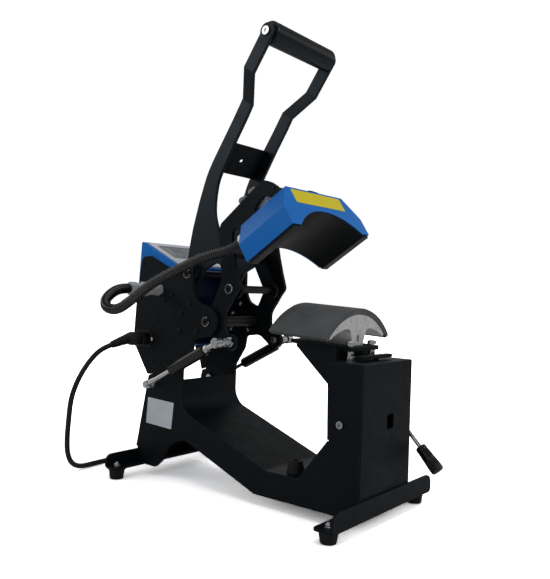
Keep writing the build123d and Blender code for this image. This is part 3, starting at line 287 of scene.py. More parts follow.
S["panel_film"] = Mat("panel_film", (0.80, 0.82, 0.86), (0.86, 0.88, 0.92), rough=(0.28, 0.36), spec=0.45, cscale=18.0,
                      bump=(900.0, 0.02), strength=0.25, edge=(0.62, 0.64, 0.67), edge_mm=0.4)
S["button_film"] = Mat("button_film", (0.055, 0.060, 0.068), (0.070, 0.075, 0.084), rough=(0.35, 0.48), spec=0.4, cscale=60.0,
                       bump=(900.0, 0.03), strength=0.3, edge=(0.16, 0.165, 0.175), edge_mm=0.3)
S["board_green"] = Mat("board_green", (0.008, 0.075, 0.030), (0.012, 0.10, 0.042), rough=(0.35, 0.5), spec=0.45, cscale=120.0,
                       bump=(500.0, 0.06), strength=0.4, speck=(240.0, 0.62, (0.30, 0.24, 0.08), 0.5))
S["rocker_red"] = Mat("rocker_red", (0.33, 0.010, 0.010), (0.42, 0.014, 0.013), rough=(0.22, 0.32), spec=0.5, cscale=50.0,
                      bump=(700.0, 0.03), strength=0.3, edge=(0.55, 0.05, 0.045), edge_mm=0.4)
S["cable_black"] = Mat("cable_black", (0.0060, 0.0062, 0.0070), (0.0088, 0.0090, 0.0100), rough=(0.34, 0.48), spec=0.36, cscale=70.0,
                       bump=(1200.0, 0.06), strength=0.35)

slot_of = {s["node"]: s["material_slot"] for s in frame["record"]["subparts"]}

# finishes of single nodes that differ from their slot's plain one
shaft_dark = Mat("shaft_dark", (0.012, 0.012, 0.014), (0.020, 0.020, 0.023), rough=(0.28, 0.42), metal=0.4, spec=0.4, cscale=110.0,
                 bump=(1200.0, 0.03), strength=0.3).bands((1, 0, 0), 0.9, 0.02, 0.25)
toggle_dark = Mat("toggle_dark", (0.012, 0.012, 0.014), (0.020, 0.020, 0.023), rough=(0.28, 0.42), metal=0.4, spec=0.4, cscale=110.0,
                  bump=(1200.0, 0.03), strength=0.3)
toggle_dark.second(toggle_dark.dist(P(0, *B_YZ), (0, 1, 1), 0.00506), (0.62, 0.62, 0.63), (0.74, 0.74, 0.75), (0.16, 0.30), metal0=0.4)
spring_tube = Mat("spring_tube_finish", (0.0045, 0.0050, 0.0058), (0.0075, 0.0080, 0.0090), rough=(0.16, 0.26), spec=0.5, cscale=60.0,
                  bump=(900.0, 0.02), strength=0.25, edge=(0.05, 0.05, 0.055), edge_mm=0.4, coat=0.15)
spring_tube.second(spring_tube.dist(P(0, *G_YZ), (0, 1, 1), 0.11875), (0.60, 0.60, 0.61), (0.76, 0.76, 0.77), (0.14, 0.26))
bolt_dark = Mat("pressure_bolt_finish", (0.40, 0.40, 0.41), (0.56, 0.56, 0.57), rough=(0.24, 0.38), metal=0.85, cscale=150.0,
                bump=(900.0, 0.05), strength=0.35, edge=(0.5, 0.5, 0.5), edge_mm=0.4).bands(AXIS_U, 1.25, 0.30, 0.55)
chrome = steel("chrome", 0.86, (0.04, 0.09), bump=(500.0, 0.004))
gland_bright = Mat("gland_finish", (0.78, 0.79, 0.80), (0.90, 0.91, 0.92), rough=(0.20, 0.34), metal=0.35, spec=0.6, cscale=140.0,
                   bump=(900.0, 0.02), strength=0.25, edge=(0.90, 0.90, 0.91), edge_mm=0.4)
ring_steel = steel("ring_finish", 0.48, (0.20, 0.34))
# Control box cover: dark navy within 43 mm of its front wall between the plates is painted shade for the shadow the
# plates cast there; blue paint everywhere else.
box_blue_painted_shade = Mat("box_paint_painted_shade", (0.0020, 0.0042, 0.0320), (0.0030, 0.0056, 0.0420), rough=(0.28, 0.38), spec=0.25, cscale=9.0,
               bump=(420.0, 0.03), strength=0.25, coat=0.05, coat_rough=0.12, tint=(0.55, 0.80, 1.0))
box_blue_painted_shade.second(box_blue_painted_shade.dist(P(0, 300.0, 226.0), (0, 1, 0.72), 0.043, 0.003), (0.008, 0.190, 0.680), (0.011, 0.215, 0.760), (0.26, 0.36), 0.0, 9.0)
inner_box = coat_black("box_side_finish", cscale=16.0)

# Handle arms: the black coat with more gloss; the lighter viewport colour is painted light for the arms' lit sides.
handle_coat_and_light = coat_black("handle_finish_and_light", spec=0.34, rough=(0.36, 0.46))
handle_coat_and_light.m.diffuse_color = (0.01, 0.012, 0.014, 1)
SPECIAL = {"handle_arm_left": handle_coat_and_light, "handle_arm_right": handle_coat_and_light, "pivot_shafts": shaft_dark, "toggle_shaft": toggle_dark, "pivot_tube": shaft_dark, "gas_tube_left": spring_tube,
           "gas_tube_right": spring_tube, "pressure_bolts": bolt_dark, "gas_rod_left": chrome, "gas_rod_right": chrome,
           "clamp_lever": chrome, "grip_rod": chrome, "conduit_gland_box": gland_bright, "control_box_cover": box_blue_painted_shade}
BEVEL = {"side_plate_left": 0.55, "side_plate_right": 0.55, "arm_plate_left": 0.5, "arm_plate_right": 0.5, "handle_arm_left": 0.55,
         "handle_arm_right": 0.55, "heater_cover": 0.35, "heating_platen": 0.5, "pedestal_cover": 0.4, "spine_cover": 0.4,
         "front_foot_bar": 0.5, "rear_foot_bar": 0.5, "control_box_cover": 0.35, "control_box_sides": 0.4, "lower_platen": 0.7,
         "lower_pad": 0.6, "platen_casting": 0.7, "arm_bridge": 0.6, "handle_grip": 1.6, "rubber_feet": 0.5, "rubber_buffers": 0.5,
         "lower_support": 0.5, "clamp_bar": 0.5, "toggle_links": 0.5, "handle_cross_plate": 0.4, "platen_posts": 0.3,
         "power_inlet": 0.4, "switch_housing": 0.5, "switch_rocker": 0.5, "display_panel": 0.2, "button_up": 0.35,
         "button_down": 0.35, "button_set": 0.35, "clamp_shaft": 0.35, "clamp_lever": 0.5, "gas_studs_front": 0.3,
         "gas_studs_rear": 0.3, "gas_tube_left": 0.3, "gas_tube_right": 0.3, "gas_rod_left": 0.25, "gas_rod_right": 0.25,
         "grip_rod": 0.35, "link_pin": 0.3, "pressure_bolts": 0.35, "pivot_shafts": 0.3, "toggle_shaft": 0.25,
         "conduit_gland_box": 0.3, "conduit_gland_heater": 0.3, "insulation_pad": 0.5, "arm_tie_rod": 0.25, "control_board": 0.15}


def smooth_edges(o, width_mm, seg=2):
    """Joined corners, one flat face per plane, a small round on each edge, and even shading."""
    for p in o.data.polygons:
        p.use_smooth = True
    wd = o.modifiers.new("weld", "WELD"); wd.merge_threshold = 2e-6
    dc = o.modifiers.new("planes", "DECIMATE"); dc.decimate_type = "DISSOLVE"; dc.angle_limit = math.radians(0.6)
    if width_mm:
        bv = o.modifiers.new("edges", "BEVEL"); bv.width = width_mm / 1000.0; bv.segments = seg
        bv.limit_method = "ANGLE"; bv.angle_limit = math.radians(32); bv.use_clamp_overlap = True
        bv.miter_outer = "MITER_ARC"; bv.harden_normals = False
    wn = o.modifiers.new("shading", "WEIGHTED_NORMAL"); wn.keep_sharp = False; wn.weight = 50


for n, o in N.items():
    mt = SPECIAL.get(n) or S[slot_of[n]]
    o.data.materials.clear()
    o.data.materials.append(mt.m)
    if n not in ("power_cord", "cord_coil", "cable_conduit", "cord_connector"):
        smooth_edges(o, BEVEL.get(n, 0.3))


# ------------------------------------------------------------------ mesh helpers
def basis(o, z, x=(0, 0, 1), mm=True):
    """Matrix from local millimetres to the row frame: z along z, x as near to x as it can be."""
    z = Vector(z).normalized()
    x = Vector(x)
    x = x - z * x.dot(z)
    if x.length < 1e-6:
        x = Vector((1, 0, 0)) - z * z.x
    x.normalize()
    y = z.cross(x)
    q = P(*o)
    k = 0.001
    return Matrix(((x.x * k, y.x * k, z.x * k, q.x), (x.y * k, y.y * k, z.y * k, q.y), (x.z * k, y.z * k, z.z * k, q.z), (0, 0, 0, 1)))


def circ(r, n=32, ph=0.0):
    return [(r * cos(ph + 2 * pi * i / n), r * sin(ph + 2 * pi * i / n)) for i in range(n)]


def hexr(rc, n=36, ph=0.0):
    """n points on a hexagon of corner radius rc."""
    ap = rc * cos(pi / 6)
    out = []
    for i in range(n):
        a = 2 * pi * i / n
        t = (a + pi / 6) % (pi / 3) - pi / 6
        r = ap / cos(t)
        out.append((r * cos(a + ph), r * sin(a + ph)))
    return out


def sup(hx, hy, n=40, e=4.0):
    """Superellipse with half sizes hx, hy."""
    out = []
    for i in range(n):
        a = 2 * pi * i / n
        c, s = cos(a), sin(a)
        out.append((hx * math.copysign(abs(c) ** (2 / e), c), hy * math.copysign(abs(s) ** (2 / e), s)))
    return out


class MB:
    def __init__(self):
        self.v, self.f, self.mi = [], [], []

    def loft(self, rings, mi=0, cap0=True, cap1=True, closed=False):
        n = len(rings[0]); base = len(self.v)
        for r in rings:
            self.v.extend(r)
        m = len(rings)
        for j in range(m if closed else m - 1):
            a, b = base + j * n, base + ((j + 1) % m) * n
            for i in range(n):
                self.f.append((a + i, a + (i + 1) % n, b + (i + 1) % n, b + i)); self.mi.append(mi)
        if not closed:
            if cap0:
                self.f.append(tuple(base + i for i in reversed(range(n)))); self.mi.append(mi)
            if cap1:
                self.f.append(tuple(base + (m - 1) * n + i for i in range(n))); self.mi.append(mi)

    def stack(self, M, secs, mi=0, cap0=True, cap1=True):
        """secs: list of (ring of (x, y), z) in local mm."""
        self.loft([[M @ Vector((x, y, z)) for x, y in ring] for ring, z in secs], mi, cap0, cap1)

    def lathe(self, M, prof, n=36, mi=0, cap0=True, cap1=True):
        self.stack(M, [(circ(max(r, 1e-4), n), z) for r, z in prof], mi, cap0, cap1)

    def turned(self, M, prof, n=36, mi=0):
        """Closed profile (r, z) turned about z."""
        self.loft([[M @ Vector((x, y, z)) for x, y in circ(r, n)] for r, z in prof], mi, closed=True)

    def slab(self, M, outline, z0, z1, mi=0, ch=0.0):
        """Prism over an outline in local mm, with a small chamfer on its top edge."""
        if ch:
            cx = sum(p[0] for p in outline) / len(outline); cy = sum(p[1] for p in outline) / len(outline)
            ins = []
            for x, y in outline:
                d = math.hypot(x - cx, y - cy)
                ins.append((x - (x - cx) / d * ch, y - (y - cy) / d * ch))
            self.stack(M, [(outline, z0), (outline, z1 - ch), (ins, z1)], mi)
        else:
            self.stack(M, [(outline, z0), (outline, z1)], mi)

    def obj(self, name, mats, body, sharp=38.0, ride=True):
        me = bpy.data.meshes.new(name)
        me.from_pydata([tuple(v) for v in self.v], [], self.f)
        for mt in mats:
            me.materials.append(mt.m if isinstance(mt, Mat) else mt)
        me.polygons.foreach_set("material_index", self.mi)
        me.update()
        bm = bmesh.new(); bm.from_mesh(me)
        bmesh.ops.recalc_face_normals(bm, faces=bm.faces)
        bm.to_mesh(me); bm.free()
        for p in me.polygons:
            p.use_smooth = True
        me.set_sharp_from_angle(angle=math.radians(sharp))
        o = bpy.data.objects.new(name, me)
        bpy.context.scene.collection.objects.link(o)
        if ride:
            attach(o, body)
        return o


def rrect(hx, hy, r, n=6, cx=0.0, cy=0.0):
    out = []
    for sx, sy, a0 in ((1, 1, 0), (-1, 1, 90), (-1, -1, 180), (1, -1, 270)):
        for i in range(n + 1):
            a = math.radians(a0 + 90.0 * i / n)
            out.append((cx + sx * (hx - r) + r * cos(a), cy + sy * (hy - r) + r * sin(a)))
    return out


def socket_screw(mb, o, z, R, h, mi=0, hexk=0.52, x=(0, 1, 0)):
    """Button head with a hexagon socket."""
    M = basis(o, z, x)
    n = 36
    s = R * hexk
    mb.stack(M, [(circ(R * 0.9, n), 0.0), (circ(R, n), 0.12 * h), (circ(R * 0.985, n), 0.42 * h), (circ(R * 0.90, n), 0.74 * h),
                 (circ(R * 0.76, n), 0.95 * h), (circ(R * 0.66, n), h), (hexr(s * 1.06, n), h), (hexr(s, n), h * 0.94),
                 (hexr(s, n), h * 0.35), (hexr(s * 0.2, n), h * 0.25)], mi, True, True)


def hex_nut(mb, o, z, rc, h, mi=0, hole=0.0, x=(0, 1, 0), ph=0.0):
    M = basis(o, z, x)
    n = 36
    ap = rc * cos(pi / 6)
    c = min(0.22 * h, 0.8)
    hx = hexr(rc, n, ph)
    lo = [(x_ * 0.94, y_ * 0.94) for x_, y_ in hx]
    secs = [(circ(ap * 0.97, n, ph), 0.0), (hx, c), (hx, h - c), (circ(ap * 0.97, n, ph), h)]
    if hole:
        secs += [(circ(hole * 1.12, n, ph), h), (circ(hole, n, ph), h - 0.4), (circ(hole, n, ph), h - 0.9)]
    mb.stack(M, secs, mi)


def washer(mb, o, z, r0, r1, h, mi=0):
    M = basis(o, z)
    mb.turned(M, [(r0, 0.0), (r1 - 0.15, 0.0), (r1, 0.15), (r1, h - 0.15), (r1 - 0.15, h), (r0, h)], 36, mi)


# ------------------------------------------------------------------ cords
def nurbs(name, pts, radius_mm, res=10):
    cu = bpy.data.curves.new(name, "CURVE")
    cu.dimensions = "3D"
    sp = cu.splines.new("NURBS")
    sp.points.add(len(pts) - 1)
    for p, q in zip(sp.points, pts):
        v = P(*q)
        p.co = (v.x, v.y, v.z, 1.0)
    sp.order_u = 3
    sp.use_endpoint_u = True
    sp.resolution_u = res
    cu.resolution_u = res
    if radius_mm:
        cu.bevel_depth = radius_mm / 1000.0
        cu.bevel_resolution = 5
        cu.use_fill_caps = True
    o = bpy.data.objects.new(name, cu)
    bpy.context.scene.collection.objects.link(o)
    return o


CBX = 49.8
inlet_y, inlet_z = 363.0, 188.0
cx0 = -CBX - 3.62
con_base = Vector((cx0 - 27.0, inlet_y, inlet_z))
con_dir = Vector((-0.94, 0.15, -0.30)).normalized()
tip = con_base + con_dir * 24.5
c1 = tip + con_dir * 13.0
LEAD = [tuple(tip), tuple(c1), (-126.5, 373.0, 167.5), (-136.0, 379.5, 152.0), (-143.4, 387.0, 131.5), (-146.4, 395.0, 108.0),
        (-143.1, 403.0, 79.7), (-139.5, 410.5, 52.0), (-134.5, 416.0, 30.0), (-124.0, 421.0, 13.5), (-107.0, 426.0, 5.0),
        (-84.0, 431.0, 3.6), (-56.0, 434.0, 3.5), (-25.0, 431.5, 3.5), (7.0, 423.5, 3.5), (36.0, 412.0, 3.5), (57.0, 404.0, 3.5)]
# put-away coil: three turns on the floor from the outside in, then turns on top of them from the inside out
CC = (86.0, 446.0)
PLUG_DEG = 128.4
PLUG_O = (60.9, 447.9, 14.6)


def seg(t, a, b):
    t = max(0.0, min(1.0, (t - a) / (b - a)))
    return t * t * (3 - 2 * t)


def coil_point(deg):
    """Radius and height of the coil at an angle counted from its front."""
    k, t = int(deg // 360), deg % 360
    if deg < 0:
        k, t = 0, 0
    if k == 0:
        r, z = 46.4 - 7.2 * seg(t, 236, 358), 3.5
    elif k == 1:
        r, z = 39.2 - 7.2 * seg(t, 236, 358), 3.5
    elif k == 2:
        r, z = 32.0, 3.5 + 7.1 * seg(t, 238, 358)
    elif k == 3:
        r, z = 32.0 + 7.2 * seg(t, 112, 234), 10.6
    elif k == 4:
        r, z = 39.2 + 7.2 * seg(t, 112, 234), 10.6
    else:
        r, z = 46.4, 10.6
    return r, z


COIL_N = 16
END_DEG = 5 * 360 + 64.0
k_r = 1.0 / cos(pi / COIL_N) * 1.0
coil_pts = []
i = 0
while True:
    d = 10.0 + i * 360.0 / COIL_N
    if d > END_DEG:
        break
    r, z = coil_point(d)
    a = math.radians(d - 90.0)
    coil_pts.append((CC[0] + r * k_r * cos(a), CC[1] + r * k_r * sin(a), z))
    i += 1
# over the inner turns and into the plug that lies on the coil
pa = math.radians(PLUG_DEG)
ph_ = (-sin(pa), cos(pa))
neck = (PLUG_O[0] - 24.0 * ph_[0], PLUG_O[1] - 24.0 * ph_[1], PLUG_O[2] + 11.5)
TAIL = []
ta = math.radians(-10.0)
tc_ = (CC[0] + (46.4 - 30.0) * cos(ta), CC[1] + (46.4 - 30.0) * sin(ta))
for i in range(0, 7):
    a = ta + math.radians(22.5 * i)
    TAIL.append((tc_[0] + 30.6 * cos(a), tc_[1] + 30.6 * sin(a), 12.0 + 14.1 * seg(i, -0.6, 6.2)))
TAIL += [(neck[0] - 4.0 * ph_[0], neck[1] - 4.0 * ph_[1], 26.1), neck]
lead = nurbs("power_lead", LEAD + coil_pts + TAIL, 3.5, 8)
lead.data.materials.append(S["cable_black"].m)
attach(lead, "root")
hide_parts("power_cord", "cord_coil")


def line_of(pts, res=24):
    """Points of a route's NURBS spline, in metres, from the curve with no bevel."""
    o = nurbs("line_tmp", pts, 0.0, res)
    bpy.context.view_layer.update()
    dg = bpy.context.evaluated_depsgraph_get()
    me = bpy.data.meshes.new_from_object(o.evaluated_get(dg))
    out = [v.co.copy() for v in me.vertices]
    bpy.data.meshes.remove(me)
    cu = o.data
    bpy.data.objects.remove(o); bpy.data.curves.remove(cu)
    return out


def resample(line, step):
    acc = [0.0]
    for p, q in zip(line, line[1:]):
        acc.append(acc[-1] + (q - p).length)
    total = acc[-1]
    n = max(2, int(round(total / step)))
    out, j = [], 0
    for i in range(n + 1):
        s = total * i / n
        while j < len(line) - 2 and acc[j + 1] < s:
            j += 1
        t = (s - acc[j]) / max(acc[j + 1] - acc[j], 1e-12)
        out.append(line[j].lerp(line[j + 1], t))
    return out, total


def frames(line):
    """Tangent, normal and binormal carried along the line without twist."""
    out = []
    t = (line[1] - line[0]).normalized()
    nrm = t.orthogonal().normalized()
    for i in range(len(line)):
        a, b = line[max(0, i - 1)], line[min(len(line) - 1, i + 1)]
        t = (b - a).normalized()
        nrm = (nrm - t * nrm.dot(t)).normalized()
        out.append((line[i], t, nrm, t.cross(nrm)))
    return out


# ribbed conduit between the control box and the heater
COND = [(-105.0, 333.0, 257.5), (-119.0, 333.0, 257.5), (-132.9, 335.1, 250.7), (-143.7, 333.0, 240.9), (-148.6, 323.1, 232.2),
        (-144.1, 308.1, 229.7), (-132.8, 294.9, 242.2), (-119.7, 282.5, 259.6), (-104.8, 264.6, 274.6),
        (-91.8, 245.6, 286.6), (-77.6, 221.8, 301.0), wp(-58, 104, 37.6), wp(-58, 91, 39)]
cl, cond_len = resample(line_of(COND), 0.00052)
fr = frames(cl)
mb = MB()
NS = 20
rings = []
PITCHR = 2.6
for i, (p, t, a, b) in enumerate(fr):
    s = cond_len * i / (len(fr) - 1) * 1000.0
    amp = 0.18 + 0.50 * seg(s, 62.0, 105.0)
    wv = 0.5 + 0.5 * cos(2 * pi * s / PITCHR)
    r = 6.7 - amp * (1.0 - wv ** 0.6) * 1.5
    if s < 1.5 or s > cond_len * 1000 - 1.5:
        r = 6.2
    rings.append([p + (a * cos(2 * pi * k / NS) + b * sin(2 * pi * k / NS)) * (r / 1000.0) for k in range(NS)])
mb.loft(rings)
# Rib crests past the first 66 mm take a lighter grey material: painted highlight on the rib tops of the black conduit.
for i in range(len(fr) - 1):
    s = cond_len * (i + 0.5) / (len(fr) - 1) * 1000.0
    if s > 66.0 and 0.5 + 0.5 * cos(2 * pi * s / PITCHR) > 0.72:
        for k in range(NS):
            mb.mi[i * NS + k] = 1
rib_highlight_mat = Mat("conduit_rib_highlight", (0.030, 0.032, 0.036), (0.060, 0.063, 0.068), rough=(0.16, 0.26), spec=0.6, cscale=160.0,
              bump=(1200.0, 0.02), strength=0.2)
cond_mat = Mat("conduit_black", (0.0040, 0.0044, 0.0050), (0.0060, 0.0065, 0.0072), rough=(0.14, 0.22), spec=0.45, cscale=70.0,
               bump=(1200.0, 0.04), strength=0.3)
conduit = mb.obj("conduit", [cond_mat, rib_highlight_mat], None, sharp=80.0, ride=False)
conduit.parent = None
P(*wp(-58, 91, 39))
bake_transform(conduit)
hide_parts("cable_conduit")
path_pts, _ = resample(cl, 0.004)

# appliance connector: moulded body that narrows into a ribbed strain relief, on the lead's own line
lead_line = line_of(LEAD[:4])
mb = MB()
secs = []
body = [(0.0, 13.2, 8.2, 5.0), (0.6, 13.6, 8.6, 5.0), (9.0, 13.6, 8.6, 5.0), (9.6, 13.0, 8.1, 5.0), (10.4, 13.0, 8.1, 5.0), (11.0, 13.5, 8.6, 4.6),
        (16.0, 13.1, 8.6, 4.0), (20.0, 12.0, 8.5, 3.4), (23.5, 10.2, 8.1, 2.9), (26.0, 8.6, 7.6, 2.4)]
NR = 40
B0 = basis((cx0, inlet_y, inlet_z), (-1, 0, 0), (0, 1, 0))
rings = []
for d, hx, hy, e in body:
    rings.append([B0 @ Vector((x, y, d)) for x, y in sup(hx, hy, NR, e)])
k0 = con_base - con_dir * 0.0
relief = []
for i in range(0, 61):
    s = 0.6 + 23.9 * i / 60.0
    r = 7.3 - 2.3 * (s / 24.5)
    w_ = (s - 2.0) / 4.1
    if s > 2.0 and s < 22.6 and (w_ % 1.0) > 0.62:
        r -= 1.15
    relief.append((s, r))
relief.append((24.6, 3.75))
for s, r in relief:
    t = seg(s, 0.0, 5.0)
    dirv = (Vector((-1, 0, 0)) * (1 - t) + con_dir * t).normalized()
    M = basis(tuple(con_base + con_dir * s), dirv, (0, 1, 0))
    rings.append([M @ Vector((x, y, 0.0)) for x, y in sup(r, r, NR, 2.0)])
mb.loft(rings)
# two grip ridges on each broad side, and the face that enters the inlet
for sx in (-1, 1):
    for j in range(4):
        M = basis((cx0 - 13.0 - j * 2.6, inlet_y, inlet_z + sx * 8.45), (0, 0, sx), (0, 1, 0))
        mb.slab(M, rrect(6.5 - j * 0.5, 0.55, 0.5, 4), -0.3, 0.55, 0, 0.2)
nose = basis((cx0 + 12.8, inlet_y, inlet_z), (-1, 0, 0), (0, 1, 0))
mb.stack(nose, [(rrect(11.6, 7.6, 2.0), 0.0), (rrect(12.0, 8.0, 2.2), 0.4), (rrect(12.0, 8.0, 2.2), 12.9)])
connector = mb.obj("lead_connector", [S["cable_black"]], "root", sharp=42)
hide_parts("cord_connector")

# mains plug lying on the coil
mb = MB()
cs, sn = cos(pa), sin(pa)


def plug_pt(x, y, z):
    return (PLUG_O[0] + x * cs - y * sn, PLUG_O[1] + x * sn + y * cs, PLUG_O[2] + z)


PD = (-sn, cs, 0.0)
PX = (cs, sn, 0.0)
M = basis(plug_pt(0, -24, 11.5), PD, PX)
rings = []
for i in range(0, 47):
    s = 24.0 * i / 46.0
    r = 4.3 + 1.7 * (s / 24.0)
    if 2.0 < s < 21.0 and ((s - 2.0) / 3.8) % 1.0 > 0.62:
        r -= 1.0
    rings.append((sup(r, r, 40, 2.0), s))
rings += [(sup(7.0, 6.8, 40, 2.2), 24.6), (sup(9.6, 9.0, 40, 2.6), 26.6), (sup(12.0, 10.6, 40, 3.0), 30.0), (sup(13.3, 11.3, 40, 3.6), 35.0),
          (sup(13.5, 11.5, 40, 4.2), 41.0), (sup(13.5, 11.5, 40, 4.6), 46.6), (sup(13.0, 11.0, 40, 4.6), 47.6), (sup(12.4, 10.4, 40, 4.6), 48.0)]
mb.stack(M, rings, 0)
for sx in (-1, 1):
    for j in range(4):
        q = plug_pt(0, 6.0 + j * 4.0, 11.5 + sx * 11.1)
        mb.slab(basis(q, (0, 0, sx), PX), rrect(9.0, 0.7, 0.6, 4), -0.4, 0.4, 0, 0.2)
for qx in (-6.35, 6.35):
    M = basis(plug_pt(qx, 23.6, 15.0), PD, PX)
    mb.stack(M, [(rrect(0.75, 3.15, 0.3, 3), 0.0), (rrect(0.75, 3.15, 0.3, 3), 15.6), (rrect(0.7, 2.7, 0.3, 3), 16.8), (rrect(0.35, 2.3, 0.2, 3), 17.4)], 1)
mb.lathe(basis(plug_pt(0, 23.6, 5.6), PD, PX), [(2.4, 0), (2.4, 17.4), (2.1, 18.6), (1.3, 19.3), (0.4, 19.5)], 24, 1)
plug = mb.obj("lead_plug", [S["cable_black"], S["bright_steel"]], "root", sharp=42)
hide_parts("mains_plug")

# ------------------------------------------------------------------ screws, nuts and rings
black_screw = Mat("screw_black", (0.014, 0.014, 0.016), (0.022, 0.022, 0.024), rough=(0.26, 0.40), metal=0.5, spec=0.5, cscale=150.0,
                  bump=(1200.0, 0.02), strength=0.25, edge=(0.10, 0.10, 0.11), edge_mm=0.25)
zinc = steel("screw_zinc", 0.74, (0.18, 0.32), speck=(500.0, 0.62, (0.42, 0.42, 0.44), 0.4))
TOWER_BOLTS = [(286.0, 226.0), (288.0, 203.0), (256.0, 204.0), (272.0, 240.0)]
BOX_SCREWS = [(324.0, 243.0), (309.5, 251.0), (339.0, 214.0), (344.0, 158.0), (368.0, 293.0)]
mb = MB()
for sx in (-96.0, 96.0):
    for fy in (12.0, 357.5):
        washer(mb, (sx, fy, 17.0), (0, 0, 1), 2.4, 4.9, 0.7, 0)
        hex_nut(mb, (sx, fy, 17.7), (0, 0, 1), 4.2, 3.0, 0, 0.0, (1, 0, 0), 0.3 + sx * 0.01)
        mb.lathe(basis((sx, fy, 20.6), (0, 0, 1)), [(2.1, 0), (2.1, 1.3), (1.7, 1.8)], 20, 0)
for bx in (-37.0, 37.0):
    socket_screw(mb, (bx, 100.0, 56.0), (0, 0, 1), 3.8, 2.2, 0)
for sg in (-1, 1):
    for (y, z) in TOWER_BOLTS:
        socket_screw(mb, (sg * 55.0, y, z), (sg, 0, 0), 3.6, 2.2, 1, 0.56)
        hex_nut(mb, (sg * 50.0, y, z), (-sg, 0, 0), 3.9, 3.2, 0)
        mb.lathe(basis((sg * 47.0, y, z), (-sg, 0, 0)), [(2.0, 0), (2.0, 0.6), (1.6, 1.0)], 20, 0)
    for (y, z) in BOX_SCREWS:
        socket_screw(mb, (sg * 52.0, y, z), (sg, 0, 0), 3.2, 1.6, 1, 0.55)
for sx in (-34.0, 34.0):
    for sz in (150.0, 170.0):
        hex_nut(mb, (sx, 52.5, sz), (0, 1, 0), 4.4, 3.4, 0, 0.0, (1, 0, 0), 0.2)
th = math.radians(36.4)
py, pz = 81.4 - C_YZ[0], 337.3 - C_YZ[1]
p0c = (C_YZ[0] + py * cos(th) - pz * sin(th), C_YZ[1] + py * sin(th) + pz * cos(th))
tl = TILT + th


def lowp(x, a, u):
    return (x, p0c[0] + a * cos(tl) - u * sin(tl), p0c[1] + a * sin(tl) + u * cos(tl))


for (px_, pa_) in ((-6.5, 20.0), (6.5, 20.0), (-6.5, 60.0), (6.5, 60.0)):
    socket_screw(mb, lowp(px_, pa_, -25.7), (0, sin(tl), -cos(tl)), 4.2, 3.4, 1)
for fy in (344.4, 380.0):
    mb.lathe(basis((-53.35, fy, 188.0), (-1, 0, 0)), [(2.7, 0), (2.6, 0.5), (1.9, 1.1), (0.7, 1.35)], 24, 0)
screws = mb.obj("screws_and_nuts", [zinc, black_screw], "root", sharp=30)
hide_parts("frame_screws")

# retaining rings, open like a C, and the spacers between plates
mb = MB()


def c_ring(mb, o, z, r0, r1, h, gap, mi=0, x=(0, 1, 0), n=44):
    M = basis(o, z, x)
    rings = []
    for i in range(n + 1):
        a = math.radians(gap / 2 + (360.0 - gap) * i / n)
        c, s = cos(a), sin(a)
        k = 0.12
        prof = [(r0, k), (r0 + k, 0.0), (r1 - k, 0.0), (r1, k), (r1, h - k), (r1 - k, h), (r0 + k, h), (r0, h - k)]
        rings.append([M @ Vector((r * c, r * s, zz)) for r, zz in prof])
    mb.loft(rings, mi)
    for a in (math.radians(gap / 2 + 4.0), math.radians(-gap / 2 - 4.0)):
        mb.lathe(M @ Matrix.Translation(((r0 + r1) / 2 * cos(a), (r0 + r1) / 2 * sin(a), 0)), [(0.75, 0.02), (1.0, 0.15), (1.0, h - 0.05), (0.8, h + 0.05)], 16, mi)


for sg in (-1, 1):
    for c, ang in ((C_YZ, 150), (A_YZ, 165)):
        c_ring(mb, (sg * 55.05, c[0], c[1]), (sg, 0, 0), 4.8, 6.35, 0.95, 66.0, 0, (0, cos(math.radians(ang)), sin(math.radians(ang))))
    M = basis((sg * 43.85, A_YZ[0], A_YZ[1]), (sg, 0, 0))
    mb.turned(M, [(5.05, 0.0), (8.3, 0.0), (8.5, 0.2), (8.5, 5.9), (8.3, 6.1), (5.05, 6.1)], 40, 0)
rings_o = mb.obj("retaining_rings", [ring_steel], "root", sharp=35)
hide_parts("shaft_rings")
# the toggle shaft's clips and the stud plates' clips ride on the platen arm
mb = MB()
for sg in (-1, 1):
    c_ring(mb, (sg * 49.9, B_YZ[0], B_YZ[1]), (sg, 0, 0), 4.7, 6.4, 0.7, 62.0, 0, (0, cos(2.7), sin(2.7)))
    c_ring(mb, (sg * 49.05, D_YZ[0], D_YZ[1]), (sg, 0, 0), 5.35, 6.6, 0.8, 62.0, 0, (0, cos(2.7), sin(2.7)))
mb.obj("arm_clips", [S["bright_steel"]], "platen_arm", sharp=35)

# ------------------------------------------------------------------ plates and labels left bare
yellow = Mat("yellow_panel", (0.96, 0.78, 0.010), (0.98, 0.82, 0.014), rough=(0.30, 0.42), spec=0.45, cscale=25.0,
             bump=(700.0, 0.02), strength=0.25, coat=0.25, coat_rough=0.15, edge=(0.60, 0.40, 0.01), edge_mm=0.3)
label = Mat("pale_label", (0.70, 0.76, 0.83), (0.77, 0.83, 0.90), rough=(0.40, 0.55), spec=0.4, cscale=40.0,
            bump=(800.0, 0.02), strength=0.25, edge=(0.42, 0.42, 0.41), edge_mm=0.3)
mb = MB()
M = basis(wp(0.0, 0.0, 43.3), (0, -AXIS_A[1], -AXIS_A[2]), (1, 0, 0))
mb.slab(M, rrect(52.0, 9.8, 1.6, 5), -0.02, 0.28, 0, 0.08)
mb.obj("yellow_plate", [yellow], "platen_arm", sharp=30)
mb = MB()
quad = [(345.6, 107.3), (293.9, 105.4), (297.5, 69.4), (348.1, 71.6)]
qc = (sum(q[0] for q in quad) / 4, sum(q[1] for q in quad) / 4)
M = basis((-55.0, qc[0], qc[1]), (-1, 0, 0), (0, -1, 0))


def soft_quad(q, r=1.2, n=4):
    out = []
    for i in range(4):
        p, a, b = Vector(q[i]), Vector(q[i - 1]), Vector(q[(i + 1) % 4])
        u, v = (a - p).normalized(), (b - p).normalized()
        for j in range(n + 1):
            t = j / n
            out.append(tuple(p + u * r * (1 - t) ** 2 + v * r * t ** 2))
    return out


